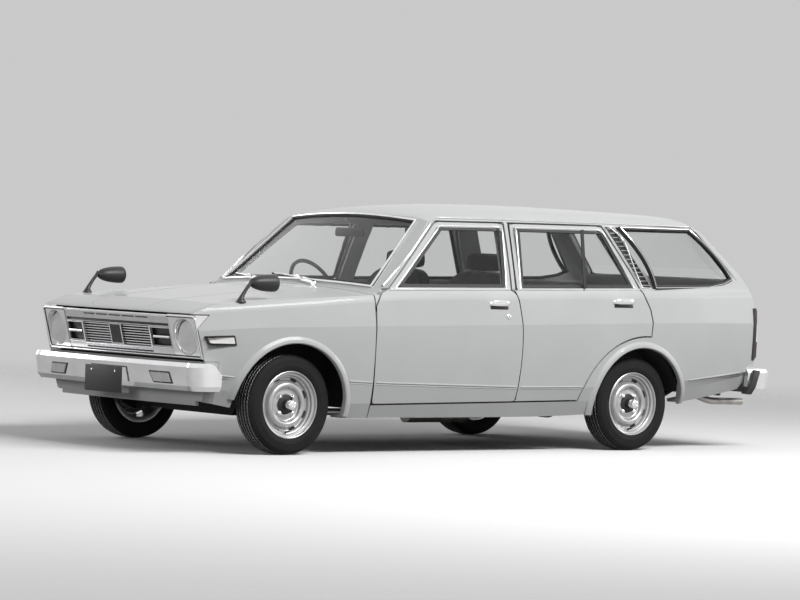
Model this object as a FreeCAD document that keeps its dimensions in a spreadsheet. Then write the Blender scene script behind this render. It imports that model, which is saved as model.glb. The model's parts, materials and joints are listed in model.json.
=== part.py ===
import FreeCAD, Part
import math
import os
import Sketcher
from FreeCAD import Placement, Rotation, Vector

# Compact five-door station wagon, in millimetres at real size.
# The front faces -Y, +X is the car's left side and +Z is up.
# The origin is on the ground, midway along the car and on its centre plane.
# Places along the car are given in mm behind the front axle.

os.makedirs("parts", exist_ok=True)
doc = FreeCAD.newDocument("Wagon")

# Driving sizes
sheet = doc.addObject("Spreadsheet::Sheet", "Sizes")
SIZES = [
    ("front_axle", -1370, "place of the front axle along Y"),
    ("wheelbase", 2340, "front axle to rear axle"),
    ("half_width", 795, "half the body's width at its upper crease"),
    ("nose_taper", 100, "how much each side draws in at the nose"),
    ("tail_taper", 50, "how much each side draws in at the tail"),
    ("crease_height", 660, "upper crease above the ground at the front door"),
    ("low_crease_height", 347, "lower crease above the ground at the doors"),
    ("sill_height", 188, "underside of the sill above the ground"),
    ("belt_height", 841, "belt line above the ground at the front door"),
    ("roof_height", 1311, "roof above the ground at its highest"),
    ("side_lean", 0.419, "inward lean of the side windows"),
    ("shield_lean", 1.153, "backward lean of the windshield"),
    ("skin_wall", 26, "outer skin of doors and tailgate with its hem"),
    ("panel_wall", 18, "hood, roof and fender panels"),
    ("frame_wall", 20, "window frames of the doors"),
    ("door_wall", 78, "whole door from outside to trim"),
    ("pillar_wall", 48, "window pillars"),
    ("sill_wall", 84, "sills and lower pillars"),
    ("panel_gap", 7, "gap round lids and between panels"),
    ("door_gap", 9, "gap round the doors, for their swing"),
    ("gate_gap", 11, "gap beside the tailgate, for its swing"),
    ("jamb_lap", 30, "how far the jamb reaches behind the door skin"),
    ("jamb_depth", 34, "jamb face below the outer surface"),
    ("inner_inset", 48, "inner door panel inside its outline"),
    ("glass_depth", 7, "window glass below the outer surface"),
    ("glass_wall", 5, "window glass"),
    ("seam_room", 0.5, "room at the seams of glass and sheet"),
    ("fit_room", 1, "room between the body side and what is set on it"),
    ("tyre_radius", 255, "tyre on the ground"),
    ("tyre_width", 145, "tyre across its side walls"),
    ("wheel_plane", 662, "middle of each tyre from the centre plane"),
    ("rim_radius", 170, "rim flange"),
    ("barrel_radius", 141, "inside of the rim's barrel"),
    ("bead_room", 0.3, "room between rim and tyre"),
    ("bore_radius", 19, "hub bore of the wheel"),
    ("spindle_radius", 18, "spindle in the hub bore"),
    ("kingpin_place", 612, "steering axis from the centre plane"),
    ("arch_radius", 330, "wheel arch openings"),
    ("flare_width", 37, "pressed flare round each wheel arch"),
    ("flare_rise", 11, "how far the flare stands out of the body side"),
    ("flare_lip", 4, "lip of the flare inside the edge of the skin"),
    ("floor_height", 240, "top of the cabin floor"),
    ("seat_pan_height", 350, "top of the floor under the rear seat"),
    ("load_height", 505, "top of the load floor"),
    ("floor_side", 636, "floor edge, where the side frames begin"),
    ("floor_wall", 12, "floor sheet with its ribs"),
    ("seat_place", 350, "front seats from the centre plane"),
    ("seat_width", 470, "front seat"),
    ("lamp_place", 578, "headlamps from the centre plane"),
    ("lamp_radius", 90, "headlamp lens"),
    ("lamp_height", 588, "headlamps above the ground"),
    ("grille_half", 466, "half the grille between the lamps"),
    ("grille_low", 478, "lower edge of the grille"),
    ("grille_high", 692, "upper edge of the grille"),
    ("bar_count", 8, "bars in each bank of the grille"),
    ("bar_thickness", 4, "grille bar"),
    ("bumper_wall", 42, "depth of the bumper section"),
    ("steering_radius", 185, "steering wheel rim"),
    ("tube_radius", 19, "exhaust pipe"),
    ("plate_screws", 210, "screw spacing of the number plate"),
    ("screw_radius", 3.5, "screw holes of the number plate"),
]
for row, (alias, value, meaning) in enumerate(SIZES, start=1):
    sheet.set("A%d" % row, meaning)
    sheet.set("B%d" % row, str(value))
    sheet.setAlias("B%d" % row, alias)
doc.recompute()


def size(alias):
    return float(sheet.get(alias))


FRONT_AXLE = size("front_axle")
WHEELBASE = size("wheelbase")
GAP = size("panel_gap")
SKIN = size("skin_wall")
PANEL = size("panel_wall")
LAP = size("jamb_lap")


# Helpers for regions cut out of the body's form

def behind(y):
    """Y of a place given in mm behind the front axle."""
    return FRONT_AXLE + y


def box(x0, x1, y0, y1, z0, z1):
    return Part.makeBox(x1 - x0, y1 - y0, z1 - z0, Vector(x0, behind(y0), z0))


def closed_wire(path, point):
    """Closed wire; a pair of points in the path is an arc through the first to the second."""
    edges = []
    start = point(*path[0])
    first = start
    for item in path[1:]:
        if isinstance(item[0], tuple):
            through = point(*item[0])
            end = point(*item[1])
            edges.append(Part.Arc(start, through, end).toShape())
        else:
            end = point(*item)
            edges.append(Part.LineSegment(start, end).toShape())
        start = end
    if start.distanceToPoint(first) > 1e-6:
        edges.append(Part.LineSegment(start, first).toShape())
    return Part.Wire(edges)


def side_face(path, x=0.0, offset=0.0):
    face = Part.Face(closed_wire(path, lambda y, z: Vector(x, behind(y), z)))
    if offset:
        face = face.makeOffset2D(offset, 2)
    return face


def side_prism(path, x0, x1, offset=0.0):
    return side_face(path, x0, offset).extrude(Vector(x1 - x0, 0, 0))


def front_prism(path, y0, y1, offset=0.0):
    face = Part.Face(closed_wire(path, lambda x, z: Vector(x, behind(y0), z)))
    if offset:
        face = face.makeOffset2D(offset, 2)
    return face.extrude(Vector(0, y1 - y0, 0))


def plan_prism(path, z0, z1, offset=0.0):
    face = Part.Face(closed_wire(path, lambda x, y: Vector(x, behind(y), z0)))
    if offset:
        face = face.makeOffset2D(offset, 2)
    return face.extrude(Vector(0, 0, z1 - z0))


def cross_cylinder(radius, y, z, x0, x1):
    return Part.makeCylinder(radius, x1 - x0, Vector(x0, behind(y), z), Vector(1, 0, 0))


def mirrored(shape):
    return shape.mirror(Vector(0, 0, 0), Vector(1, 0, 0))


def both_sides(shape):
    return Part.makeCompound([shape, mirrored(shape)])


# The body's form: sections across it, met by profiles along it

def bow(a, middle, b):
    """Curve from a to b that passes through the middle point, one plain span."""
    curve = Part.BezierCurve()
    curve.setPoles([a, middle * 2 - (a + b) * 0.5, b])
    return curve.toShape()


def half_width_at(y):
    nose = max(0.0, 900 - y) / 1450
    tail = max(0.0, y - WHEELBASE + 440) / 1346
    return size("half_width") - size("nose_taper") * nose ** 3.2 - size("tail_taper") * tail ** 2.2


def crease_at(y):
    nose = max(0.0, -y) / 547
    tail = max(0.0, y - 2400) / 830
    return size("crease_height") + 0.0195 * (y - 480) - 18 * nose ** 2 - 10 * tail ** 2


def low_crease_at(y):
    nose = max(0.0, 1300 - y) / 1732
    tail = max(0.0, y - 1800) / 1332
    return size("low_crease_height") + 54 * nose ** 2 + 82 * tail ** 1.9


def sill_at(y):
    nose = max(0.0, 300 - y) / 850
    tail = max(0.0, y - 1500) / 1600
    return size("sill_height") + 92 * nose ** 2 + 137 * tail ** 2


def belt_at(y):
    slope = 0.0785 if y < 610 else 0.0205
    return size("belt_height") + slope * (y - 610)


def cross_section(y, inset):
    """Section of the body's left side at one place, with arcs for the bellied stretches."""
    top = size("roof_height") + 89
    wide = half_width_at(y) - inset
    low, crease, belt = low_crease_at(y), crease_at(y), belt_at(y)
    sill = sill_at(y) + inset
    lean = size("side_lean") * (top - belt)
    place = behind(y)
    start = INNER_PLANE
    points = [(start, sill), (wide - 58, sill), (wide - 30, sill + 75), (wide - 12, low), (wide, crease),
              (wide - 19, belt - 45), (wide - 45, belt), (wide - 45 - lean, top), (start, top),
              (start, sill)]
    bellies = {3: (wide - 2, (low + crease) / 2), 5: (wide - 29, belt - 18),
               6: (wide - 35 - lean / 2, (top + belt) / 2)}

    def run(index):
        a = Vector(points[index][0], place, points[index][1])
        b = Vector(points[index + 1][0], place, points[index + 1][1])
        if index in bellies:
            middle = Vector(bellies[index][0], place, bellies[index][1])
            return bow(a, middle, b)
        return Part.LineSegment(a, b).toShape()

    return Part.Wire([run(index) for index in range(8)] + [run(8)])


def long_profile(x, inset):
    """Outline of nose, hood, windshield, roof and tail at one distance from the centre plane."""
    out = abs(x)
    crown = 45 * (x / 600) ** 2 + 38 * (min(out, 640) / 600) ** 8
    nose = x * x / 15000 + inset
    tail = -x * x / 9000 - 0.004 * max(0.0, out - 650) ** 2 - inset
    lean = size("shield_lean")
    high = size("roof_height")

    def drop(depth):
        return depth * (x / 700) ** 2 + inset

    def shield(z):
        return 454 + lean * (z - 847) + x * x / 4400 + inset * math.hypot(1, lean)

    def at(y, z):
        return Vector(x, behind(y), z)

    cowl_z = 866 - drop(36)
    header_z = high - 68 - 0.4 * crown - inset
    skirt = at(-500 + nose, 100)
    apron = at(-545 + nose, 455)
    lip = at(-612 + nose, 704 - drop(3))
    lip_mid = at(-570 + nose, 728 - drop(5))
    hood_front = at(-440 + nose / 2, 768 - drop(11))
    hood_mid = at(0, 818 - drop(25))
    cowl = at(shield(cowl_z), cowl_z)
    header = at(shield(header_z), header_z)
    brow = at(1070 + inset, high - 36 - 0.75 * crown - inset)
    roof_front = at(1300, high - 13 - crown - inset)
    roof_mid = at(1900, high - crown - inset)
    roof_rear = at(2830 + tail / 2, high - 18 - 0.75 * crown - inset)
    edge_mid = at(2906 + tail, high - 39 - 0.6 * crown - inset)
    gate_top = at(2958 + tail * 1.2, high - 74 - 0.3 * crown - inset * 0.4)
    gate_low = at(3220 + tail * 1.2, 975)
    gate_mid = at(3291 + tail * 1.1, 876)
    tail_top = at(3333 + tail, 760)
    tail_mid = at(3338 + tail, 540)
    tail_low = at(3318 + tail, 440)
    tuck = at(3200 + tail, 318)
    under = at(3150 + tail, 100)

    def line(a, b):
        return Part.LineSegment(a, b).toShape()

    return Part.Wire([
        line(skirt, apron), line(apron, lip), bow(lip, lip_mid, hood_front),
        bow(hood_front, hood_mid, cowl), line(cowl, header), bow(header, brow, roof_front),
        bow(roof_front, roof_mid, roof_rear), bow(roof_rear, edge_mid, gate_top),
        line(gate_top, gate_low), bow(gate_low, gate_mid, tail_top), line(tail_top, tail_mid),
        line(tail_mid, tail_low), line(tail_low, tuck), line(tuck, under), line(under, skirt)])


INNER_PLANE = 430
SECTION_PLACES = [-720, -600, -450, -300, -100, 150, 450, 800, 1300, 1900, 2300, 2700, 3000, 3200, 3420]
CROWN_PLACES = [700, 640, 560, 400, 200]
CORNER_PLACES = [820, 760, 700, 650, 600, 520, INNER_PLANE]
forms = {}


def side_form(inset):
    """The left side alone, without nose, roof and tail."""
    if ("side", inset) not in forms:
        sections = [cross_section(y, inset) for y in SECTION_PLACES]
        forms["side", inset] = Part.makeLoft(sections, True, False)
    return forms["side", inset]


def crown_form(inset):
    """Nose, hood, windshield, roof and tail between the sides."""
    if ("crown", inset) not in forms:
        places = [-x for x in CROWN_PLACES] + [0] + CROWN_PLACES[::-1]
        profiles = [long_profile(float(x), inset) for x in places]
        forms["crown", inset] = Part.makeLoft(profiles, True, False)
    return forms["crown", inset]


def corner_form(inset):
    """The left side with its nose, roof and tail corners."""
    if ("corner", inset) not in forms:
        profiles = [long_profile(float(x), inset) for x in CORNER_PLACES[::-1]]
        across = Part.makeLoft(profiles, True, False)
        forms["corner", inset] = side_form(inset).common(across)
    return forms["corner", inset]


def layer(form, region, outer, inner):
    """What lies between two depths below the surface of a form, inside a region."""
    return region.common(form(outer)).cut(form(inner))


# Node bookkeeping

nodes = []


def keep(thing, label):
    thing.Label = label
    nodes.append(thing)
    return thing


def feature(shape, label):
    thing = doc.addObject("Part::Feature", label)
    solids = shape.Solids
    thing.Shape = solids[0] if len(solids) == 1 else Part.makeCompound(solids)
    return keep(thing, label)


def mirror_feature(source, label):
    thing = doc.addObject("Part::Mirroring", label)
    thing.Source = source
    thing.Normal = (1, 0, 0)
    return keep(thing, label)


def part_body(label):
    return keep(doc.addObject("PartDesign::Body", label), label)


def origin_part(body, role):
    return [item for item in body.Origin.OriginFeatures if item.Role == role][0]


def outline_sketch(body, name, plane, points):
    """Sketch of a closed outline; each point is a pair of expressions of the sheet's sizes."""
    sketch = body.newObject("Sketcher::SketchObject", name)
    sketch.AttachmentSupport = [(origin_part(body, plane), "")]
    sketch.MapMode = "FlatFace"
    corners = [Vector(float(sketch.evalExpression(u)), float(sketch.evalExpression(v)), 0)
               for u, v in points]
    count = len(corners)
    for index in range(count):
        sketch.addGeometry(Part.LineSegment(corners[index], corners[(index + 1) % count]), False)
    for index in range(count):
        sketch.addConstraint(Sketcher.Constraint("Coincident", index, 2, (index + 1) % count, 1))
    for index, (u, v) in enumerate(points):
        across = sketch.addConstraint(
            Sketcher.Constraint("DistanceX", -1, 1, index, 1, corners[index].x))
        sketch.setExpression("Constraints[%d]" % across, u)
        up = sketch.addConstraint(
            Sketcher.Constraint("DistanceY", -1, 1, index, 1, corners[index].y))
        sketch.setExpression("Constraints[%d]" % up, v)
    return sketch


def revolve(body, sketch, axis_role):
    turn = body.newObject("PartDesign::Revolution", body.Name + "Turn")
    turn.Profile = sketch
    turn.ReferenceAxis = (origin_part(body, axis_role), [""])
    turn.Angle = 360
    return turn


def pad_across(body, sketch, width_expression):
    """Pad a side outline to both sides of its plane."""
    pad = body.newObject("PartDesign::Pad", body.Name + "Pad")
    pad.Profile = sketch
    pad.Midplane = True
    pad.setExpression("Length", width_expression)
    return pad


def set_place(thing, x, y, z):
    """Bind a placement to expressions; y is behind the front axle."""
    thing.setExpression("Placement.Base.x", x)
    thing.setExpression("Placement.Base.y", "Sizes.front_axle + " + y)
    thing.setExpression("Placement.Base.z", z)


# Outlines seen from the side, in mm behind the front axle and above the ground

FRONT_DOOR = [(500, 262), ((494, 560), (500, 763)), (549, 838), (600, 850), (985, 1192),
              ((1008, 1203), (1046, 1207)), (1464, 1211), (1424, 862), (1440, 850), (1457, 805),
              ((1478, 600), (1471, 420)), (1457, 274)]
FRONT_APERTURE = [(660, 862), (1010, 1172), ((1022, 1179), (1040, 1181)), (1428, 1186),
                  (1390, 872)]
REAR_DOOR = [(1463, 274), (1477, 420), ((1484, 600), (1464, 805)), (1447, 856), (1462, 864),
             (1505, 1211), (2165, 1214), (2346, 884), (2366, 830), (2399, 770), (2412, 700),
             (2404, 628), ((2068, 520), (1900, 280))]
REAR_APERTURE = [(1502, 872), (1538, 1187), (2140, 1190), (2304, 886)]
QUARTER_APERTURE = [(2264, 1214), (2834, 1216), (3078, 946), (3008, 918), (2888, 898), (2464, 890)]
LOUVRE_PANEL = [(2194, 1214), (2244, 1214), (2440, 890), (2374, 890)]
SHIELD_OUTLINE = [(-652, 862), ((0, 884), (652, 862)), (536, 1206), ((0, 1232), (-536, 1206))]
HOOD_OUTLINE = [(-640, -660), (640, -660), (640, 486), ((0, 414), (-640, 486))]
GATE_OUTLINE = [(-548, 1340), (548, 1340), (650, 985), (662, 900), (652, 812), (553, 796), (552, 500),
                (-552, 500), (-553, 796), (-652, 812), (-662, 900), (-650, 985)]
GATE_APERTURE = [(-512, 1206), (512, 1206), (604, 940), (-604, 940)]

FRONT_ARCH = (-5, 238)
REAR_ARCH = (WHEELBASE + 8, 232)
ROOF_SEAM = 1222
ROOF_SIDE = 603
ROOF_END = 2866
GATE_START = ROOF_END + GAP
DOOR_START = 494
HOOD_SIDE = 640
HOOD_LOW = 706
LAMP_SIDE = 690
LAMP_BAY = (480, HOOD_LOW - GAP)
BUMPER_TOP = 470
PANEL_START = 636
FENDER_START = 642
COWL_SIDE = 655
TAIL_LAMP_LOW = 500
TAIL_LAMP_HIGH = 788
TAIL_LAMP_INNER = 560
TAIL_LAMP_FRONT = 3232
WALL_START = 2150
RAIL_INNER = 340
RAIL_OUTER = 400
REAR_RAIL_INNER = 330
REAR_RAIL_OUTER = 370
REAR_ARM_INNER = REAR_RAIL_INNER - 10
REAR_ARM_OUTER = REAR_RAIL_OUTER + 10
SUPPORT_FRONT = -480
SUPPORT_BACK = -460
BRACKET_SLOT = 3
COLUMN_RADIUS = 22
STEERING_TILT = 28
STEERING_HUB = Vector(-size("seat_place") - 10, behind(965), 809)
STEERING_AXIS = Vector(0, math.cos(math.radians(STEERING_TILT)), math.sin(math.radians(STEERING_TILT)))
RAIL_LOW = 312
FIREWALL = 470
RADIATOR_HALF = 270
RADIATOR_LOW = 365
RADIATOR_TALL = 280
TUNNEL = 98
SEAT_STEP = 1790
LOAD_STEP = 2230
HOUSE_INNER = 545
HOUSE_OUTER = 716
DECK_END = 3252


def shield_opening(offset):
    return front_prism(SHIELD_OUTLINE, 380, 1120, offset)


# Panels at the front

def surface_x(y, z):
    """Body side below the upper crease at one place, read from its section."""
    wide = half_width_at(y)
    low, crease, sill = low_crease_at(y), crease_at(y), sill_at(y)
    if z < sill + 75:
        return wide - 58 + 28 * max(0.0, z - sill) / 75
    if z < low:
        return wide - 30 + 18 * (z - sill - 75) / (low - sill - 75)
    t = (z - low) / (crease - low)
    middle = 2 * (wide - 2) - (wide + wide - 12) / 2
    return (1 - t) ** 2 * (wide - 12) + 2 * t * (1 - t) * middle + t * t * wide


def flare(centre, start, end):
    """Pressed lip round a wheel arch, lofted through sections that follow the body side."""
    inner = size("arch_radius")
    outer = inner + size("flare_width")
    rise = size("flare_rise")
    root = 14
    sections = []
    steps = 8
    for index in range(steps + 1):
        turn = math.radians(start + (end - start) * index / steps)

        def point(radius, out):
            y = centre[0] + radius * math.cos(turn)
            z = centre[1] + radius * math.sin(turn)
            return Vector(surface_x(y, z) + out, behind(y), z)

        corners = [point(outer, -1), point(outer - 18, rise * 0.75), point(inner + 5, rise),
                   point(inner, rise - 3), point(inner, -root), point(outer, -root)]
        sections.append(Part.makePolygon(corners + corners[:1]))
    return Part.makeLoft(sections, True, False).cut(box(500, 900, -700, 3500, 0, size("sill_height") + 8))


def front_panels():
    hood = plan_prism(HOOD_OUTLINE, HOOD_LOW, 930)
    feature(layer(crown_form, hood, 0, PANEL), "hood")

    opening = plan_prism(HOOD_OUTLINE, HOOD_LOW - GAP, 930, GAP)
    arch = cross_cylinder(size("arch_radius") + size("flare_lip"), *FRONT_ARCH, 500, 900)
    outline = [(DOOR_START - GAP, 160), (DOOR_START - GAP, 930), (-660, 930), (-660, BUMPER_TOP),
               (-440, BUMPER_TOP), (-440, 230), (-250, 160)]
    region = side_prism(outline, FENDER_START, 830).cut(opening)
    bezel = box(0, LAMP_SIDE, -700, -480, 400, HOOD_LOW - 2)
    fender = layer(corner_form, region, 0, PANEL).cut(arch).cut(bezel)
    fender = fender.fuse(flare(FRONT_ARCH, -12, 173))
    feature(both_sides(fender), "front_fenders")

    middle = layer(crown_form, box(-600, 600, -700, -440, 245, BUMPER_TOP - 2), 0, PANEL)
    corner = layer(corner_form, box(600, 830, -700, -440 - 2, 245, BUMPER_TOP - 2), 0, PANEL)
    apron = middle.fuse([corner, mirrored(corner)])
    for side in (-1, 1):
        apron = apron.cut(bracket(side, RAIL_INNER, RAIL_OUTER, -640, -440, BRACKET_SLOT))
    feature(apron, "front_apron")

    rear = 500
    strip = [(-COWL_SIDE, rear), ((0, 414 + GAP), (COWL_SIDE, rear)), (COWL_SIDE, 640),
             (-COWL_SIDE, 640)]
    cowl = layer(crown_form, plan_prism(strip, 780, 892), 0, PANEL).cut(shield_opening(0))
    cowl = cowl.cut(box(HOOD_SIDE, 900, 0, DOOR_START, 600, 1000))
    cowl = cowl.cut(box(-900, -HOOD_SIDE, 0, DOOR_START, 600, 1000))
    feature(cowl, "cowl")


def bracket(side, inner, outer, front, back, room=0.0):
    """Bumper bracket, or the slot that lets it through a panel."""
    x0, x1 = sorted((side * (inner + 10 - room), side * (outer - 10 + room)))
    return box(x0, x1, front, back, 340 - room, 385 + room)


# Glass set into the body

def glass_of(form, region):
    depth = size("glass_depth")
    return layer(form, region, depth, depth + size("glass_wall"))


def fixed_glass():
    room = size("seam_room")
    feature(glass_of(crown_form, shield_opening(-room)), "windshield")
    quarter = glass_of(side_form, side_prism(QUARTER_APERTURE, 480, 830, -room))
    feature(both_sides(quarter), "quarter_glass")


# Doors: skin with window frame, inner panel and glass

def door_shape(outline, aperture, belt):
    shell = side_prism(outline, 480, 840)
    lower = layer(side_form, shell.common(box(480, 840, 0, 3400, 0, belt)), 0, SKIN)
    upper = shell.common(box(480, 840, 0, 3400, belt, 1400))
    upper = layer(side_form, upper, 0, size("frame_wall"))
    inner_face = side_face(outline, 480, -size("inner_inset"))
    inner = inner_face.extrude(Vector(360, 0, 0)).common(box(480, 840, 0, 3400, 0, belt - 4))
    inner = layer(side_form, inner, SKIN, size("door_wall"))
    door = lower.fuse([upper, inner]).removeSplitter()
    return door.cut(side_prism(aperture, 480, 840))


def doors():
    for place, outline, aperture, belt in [("front", FRONT_DOOR, FRONT_APERTURE, 856),
                                           ("rear", REAR_DOOR, REAR_APERTURE, 868)]:
        left = feature(door_shape(outline, aperture, belt), "door_%s_left" % place)
        mirror_feature(left, "door_%s_right" % place)
        pane = side_prism(aperture, 480, 840, -size("seam_room"))
        glass = feature(glass_of(side_form, pane), "glass_%s_left" % place)
        mirror_feature(glass, "glass_%s_right" % place)


# Side frames: pillars, sills, quarter panels and roof rails

def side_frame():
    outline = [(DOOR_START, 160), (DOOR_START, 960), (836, ROOF_SEAM), (ROOF_END, ROOF_SEAM),
               (ROOF_END, 1340), (3500, 1340), (3500, 290), (2900, 160)]
    region = side_prism(outline, 538, 840)
    split = 858
    load = size("load_height")
    sill = region.common(box(PANEL_START, 840, 0, WALL_START, 100, split))
    frame = layer(corner_form, sill, 0, size("sill_wall"))
    pillars = box(538, 840, 0, 3500, split, 1400).fuse(box(538, 840, WALL_START, 3500, load, split))
    frame = frame.fuse(layer(corner_form, region.common(pillars), 0, size("pillar_wall")))
    skirt = box(PANEL_START, 840, WALL_START, 3500, 100, load)
    skirt = skirt.fuse(box(TAIL_LAMP_INNER, PANEL_START, TAIL_LAMP_FRONT, 3500, 290, load))
    frame = frame.fuse(layer(corner_form, region.common(skirt), 0, PANEL)).removeSplitter()
    frame = frame.cut(shield_opening(0))
    frame = frame.cut(box(500, COWL_SIDE, DOOR_START - 10, 720, 600, 892))
    frame = frame.cut(front_prism(GATE_OUTLINE, ROOF_END, 3500, size("gate_gap")))
    frame = frame.cut(box(500, TAIL_LAMP_INNER, 2900, 3500, 100, 800))
    frame = frame.cut(box(TAIL_LAMP_INNER - 1, 840, TAIL_LAMP_FRONT, 3500, TAIL_LAMP_LOW, TAIL_LAMP_HIGH))
    house = cross_cylinder(size("arch_radius") + size("flare_width") + 5, *REAR_ARCH, 500, 900)
    frame = frame.cut(house.common(corner_form(PANEL)))
    frame = frame.cut(cross_cylinder(size("arch_radius") + size("flare_lip"), *REAR_ARCH, 500, 900))
    frame = frame.fuse(flare(REAR_ARCH, 4, 190))
    for outline in (FRONT_DOOR, REAR_DOOR):
        pocket = side_face(outline, 480, size("door_gap")).extrude(Vector(360, 0, 0))
        frame = frame.cut(layer(side_form, pocket, -1, size("jamb_depth")))
        through = side_face(outline, 480, -LAP).extrude(Vector(360, 0, 0))
        frame = frame.cut(through)
    frame = frame.cut(side_prism(QUARTER_APERTURE, 480, 840))
    return frame


def side_frames():
    frame = side_frame()
    panel = side_prism(LOUVRE_PANEL, 480, 840)
    slats = layer(side_form, panel, 4, 12)
    left = feature(frame.cut(layer(side_form, panel, -1, 12)), "side_frame_left")
    mirror_feature(left, "side_frame_right")
    feature(both_sides(slats), "louvre_panels")


# Roof, tail and tailgate

def roof():
    high = box(-ROOF_SIDE, ROOF_SIDE, 830, ROOF_END, ROOF_SEAM, 1400)
    header = box(-537, 537, 860, 1100, 1195, 1400)
    shape = layer(crown_form, high.fuse(header), 0, PANEL).cut(shield_opening(0))
    feature(shape, "roof")


def tail():
    panel = box(-TAIL_LAMP_INNER, TAIL_LAMP_INNER, 3150, 3500, 290, TAIL_LAMP_LOW - GAP)
    panel = layer(crown_form, panel, 0, SKIN)
    for side in (-1, 1):
        panel = panel.cut(bracket(side, REAR_ARM_INNER, REAR_ARM_OUTER, 3150, 3500, BRACKET_SLOT))
    feature(panel, "rear_panel")
    lamp = box(TAIL_LAMP_INNER, 840, TAIL_LAMP_FRONT, 3500, TAIL_LAMP_LOW, TAIL_LAMP_HIGH)
    feature(both_sides(layer(corner_form, lamp, 0, 40)), "tail_lamps")

    outline = front_prism(GATE_OUTLINE, GATE_START, 3500)
    skin = layer(crown_form, outline, 0, SKIN)
    inner = front_prism(GATE_OUTLINE, 3000, 3500, -size("inner_inset"))
    inner = layer(crown_form, inner.common(box(-700, 700, 3000, 3500, 500, 930)), SKIN, 60)
    aperture = front_prism(GATE_APERTURE, GATE_START, 3500)
    feature(skin.fuse(inner).cut(aperture), "tailgate")
    pane = front_prism(GATE_APERTURE, GATE_START, 3500, -size("seam_room"))
    feature(glass_of(crown_form, pane), "tailgate_glass")


# Grille and lamps on the nose

def nose_y(x, z):
    """Nose surface between apron and hood, in mm behind the front axle."""
    return -545 - (z - 455) * 67 / 249 + x * x / 15000


def nose_slab(x0, x1, z0, z1, front, back):
    """Leaning slab that keeps to the nose, between two depths behind it."""
    rings = []
    for z in (z0, z1):
        def point(x, depth):
            return Vector(x, behind(nose_y(x, z) + depth), z)

        middle = (x0 + x1) / 2
        ahead = Part.Arc(point(x0, front), point(middle, front), point(x1, front)).toShape()
        after = Part.Arc(point(x1, back), point(middle, back), point(x0, back)).toShape()
        ends = [Part.LineSegment(point(x1, front), point(x1, back)).toShape(),
                Part.LineSegment(point(x0, back), point(x0, front)).toShape()]
        rings.append(Part.Wire([ahead, ends[0], after, ends[1]]))
    return Part.makeLoft(rings, True, True)


def nose_bar(x0, x1, z, thick, front, back):
    """Thin level bar across the nose."""
    def point(x, depth):
        return Vector(x, behind(nose_y(x, z) + depth), z - thick / 2)

    middle = (x0 + x1) / 2
    ahead = Part.Arc(point(x0, front), point(middle, front), point(x1, front)).toShape()
    after = Part.Arc(point(x1, back), point(middle, back), point(x0, back)).toShape()
    ends = [Part.LineSegment(point(x1, front), point(x1, back)).toShape(),
            Part.LineSegment(point(x0, back), point(x0, front)).toShape()]
    return Part.Face(Part.Wire([ahead, ends[0], after, ends[1]])).extrude(Vector(0, 0, thick))


def grille():
    half = size("grille_half")
    low = size("grille_low")
    high = size("grille_high")
    frame_front, frame_back = 3, 26
    window_low, window_high = low + 50, high - 60
    window_half = half - 8
    post_half = 46
    bank_end = 298
    frame = nose_slab(-half, half, low, high, frame_front, frame_back)
    frame = frame.cut(nose_slab(-window_half, -post_half, window_low, window_high, -20, 60))
    frame = frame.cut(nose_slab(post_half, window_half, window_low, window_high, -20, 60))
    frame = frame.cut(nose_slab(-window_half, window_half, window_high + 5, window_high + 18, -20, 14))
    frame = frame.cut(nose_slab(-bank_end, bank_end, low + 22, low + 30, -20, 14))
    back = nose_slab(-half, half, low, high, frame_back, frame_back + 6)
    pieces = [back]
    for side in (-1, 1):
        for x0, x1, z0, z1, ahead in [(bank_end, bank_end + 7, window_low, window_high, 0),
                                      (bank_end + 7, window_half, window_high - 8, window_high, 2),
                                      (bank_end + 7, window_half, window_low, window_low + 8, 2),
                                      (bank_end + 24, window_half, 574, 586, 6)]:
            start, end = sorted((side * x0, side * x1))
            pieces.append(nose_slab(start, end, z0, z1, ahead, frame_back))
    thick = size("bar_thickness")
    count = int(size("bar_count"))
    for side in (-1, 1):
        start, end = sorted((side * post_half, side * bank_end))
        for index in range(count):
            z = window_low + (window_high - window_low) * (index + 0.5) / count
            pieces.append(nose_bar(start, end, z, thick, 9, frame_back + 3))
    feature(frame.fuse(pieces), "grille")


def headlamps():
    low, high = LAMP_BAY
    lamp = size("lamp_place")
    height = size("lamp_height")
    radius = size("lamp_radius")
    region = box(size("grille_half") + 3, LAMP_SIDE - 3, -700, -490, low, high)
    hole = Part.makeCylinder(radius + 1, 300, Vector(lamp, behind(-700), height), Vector(0, 1, 0))
    bezel = layer(crown_form, region, 2, 60).cut(hole)
    feature(both_sides(bezel), "lamp_bezels")
    ball = radius * 2.2
    depth = math.sqrt(ball * ball - radius * radius)
    lens_edge = -535
    lens = Part.makeSphere(ball, Vector(lamp, behind(lens_edge) + depth, height))
    can_front = -575
    can = Part.makeCylinder(radius, SUPPORT_FRONT - can_front, Vector(lamp, behind(can_front), height),
                            Vector(0, 1, 0))
    feature(both_sides(lens.common(can)), "headlamps")


# Bumpers: bands that follow the nose and tail in plan

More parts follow.
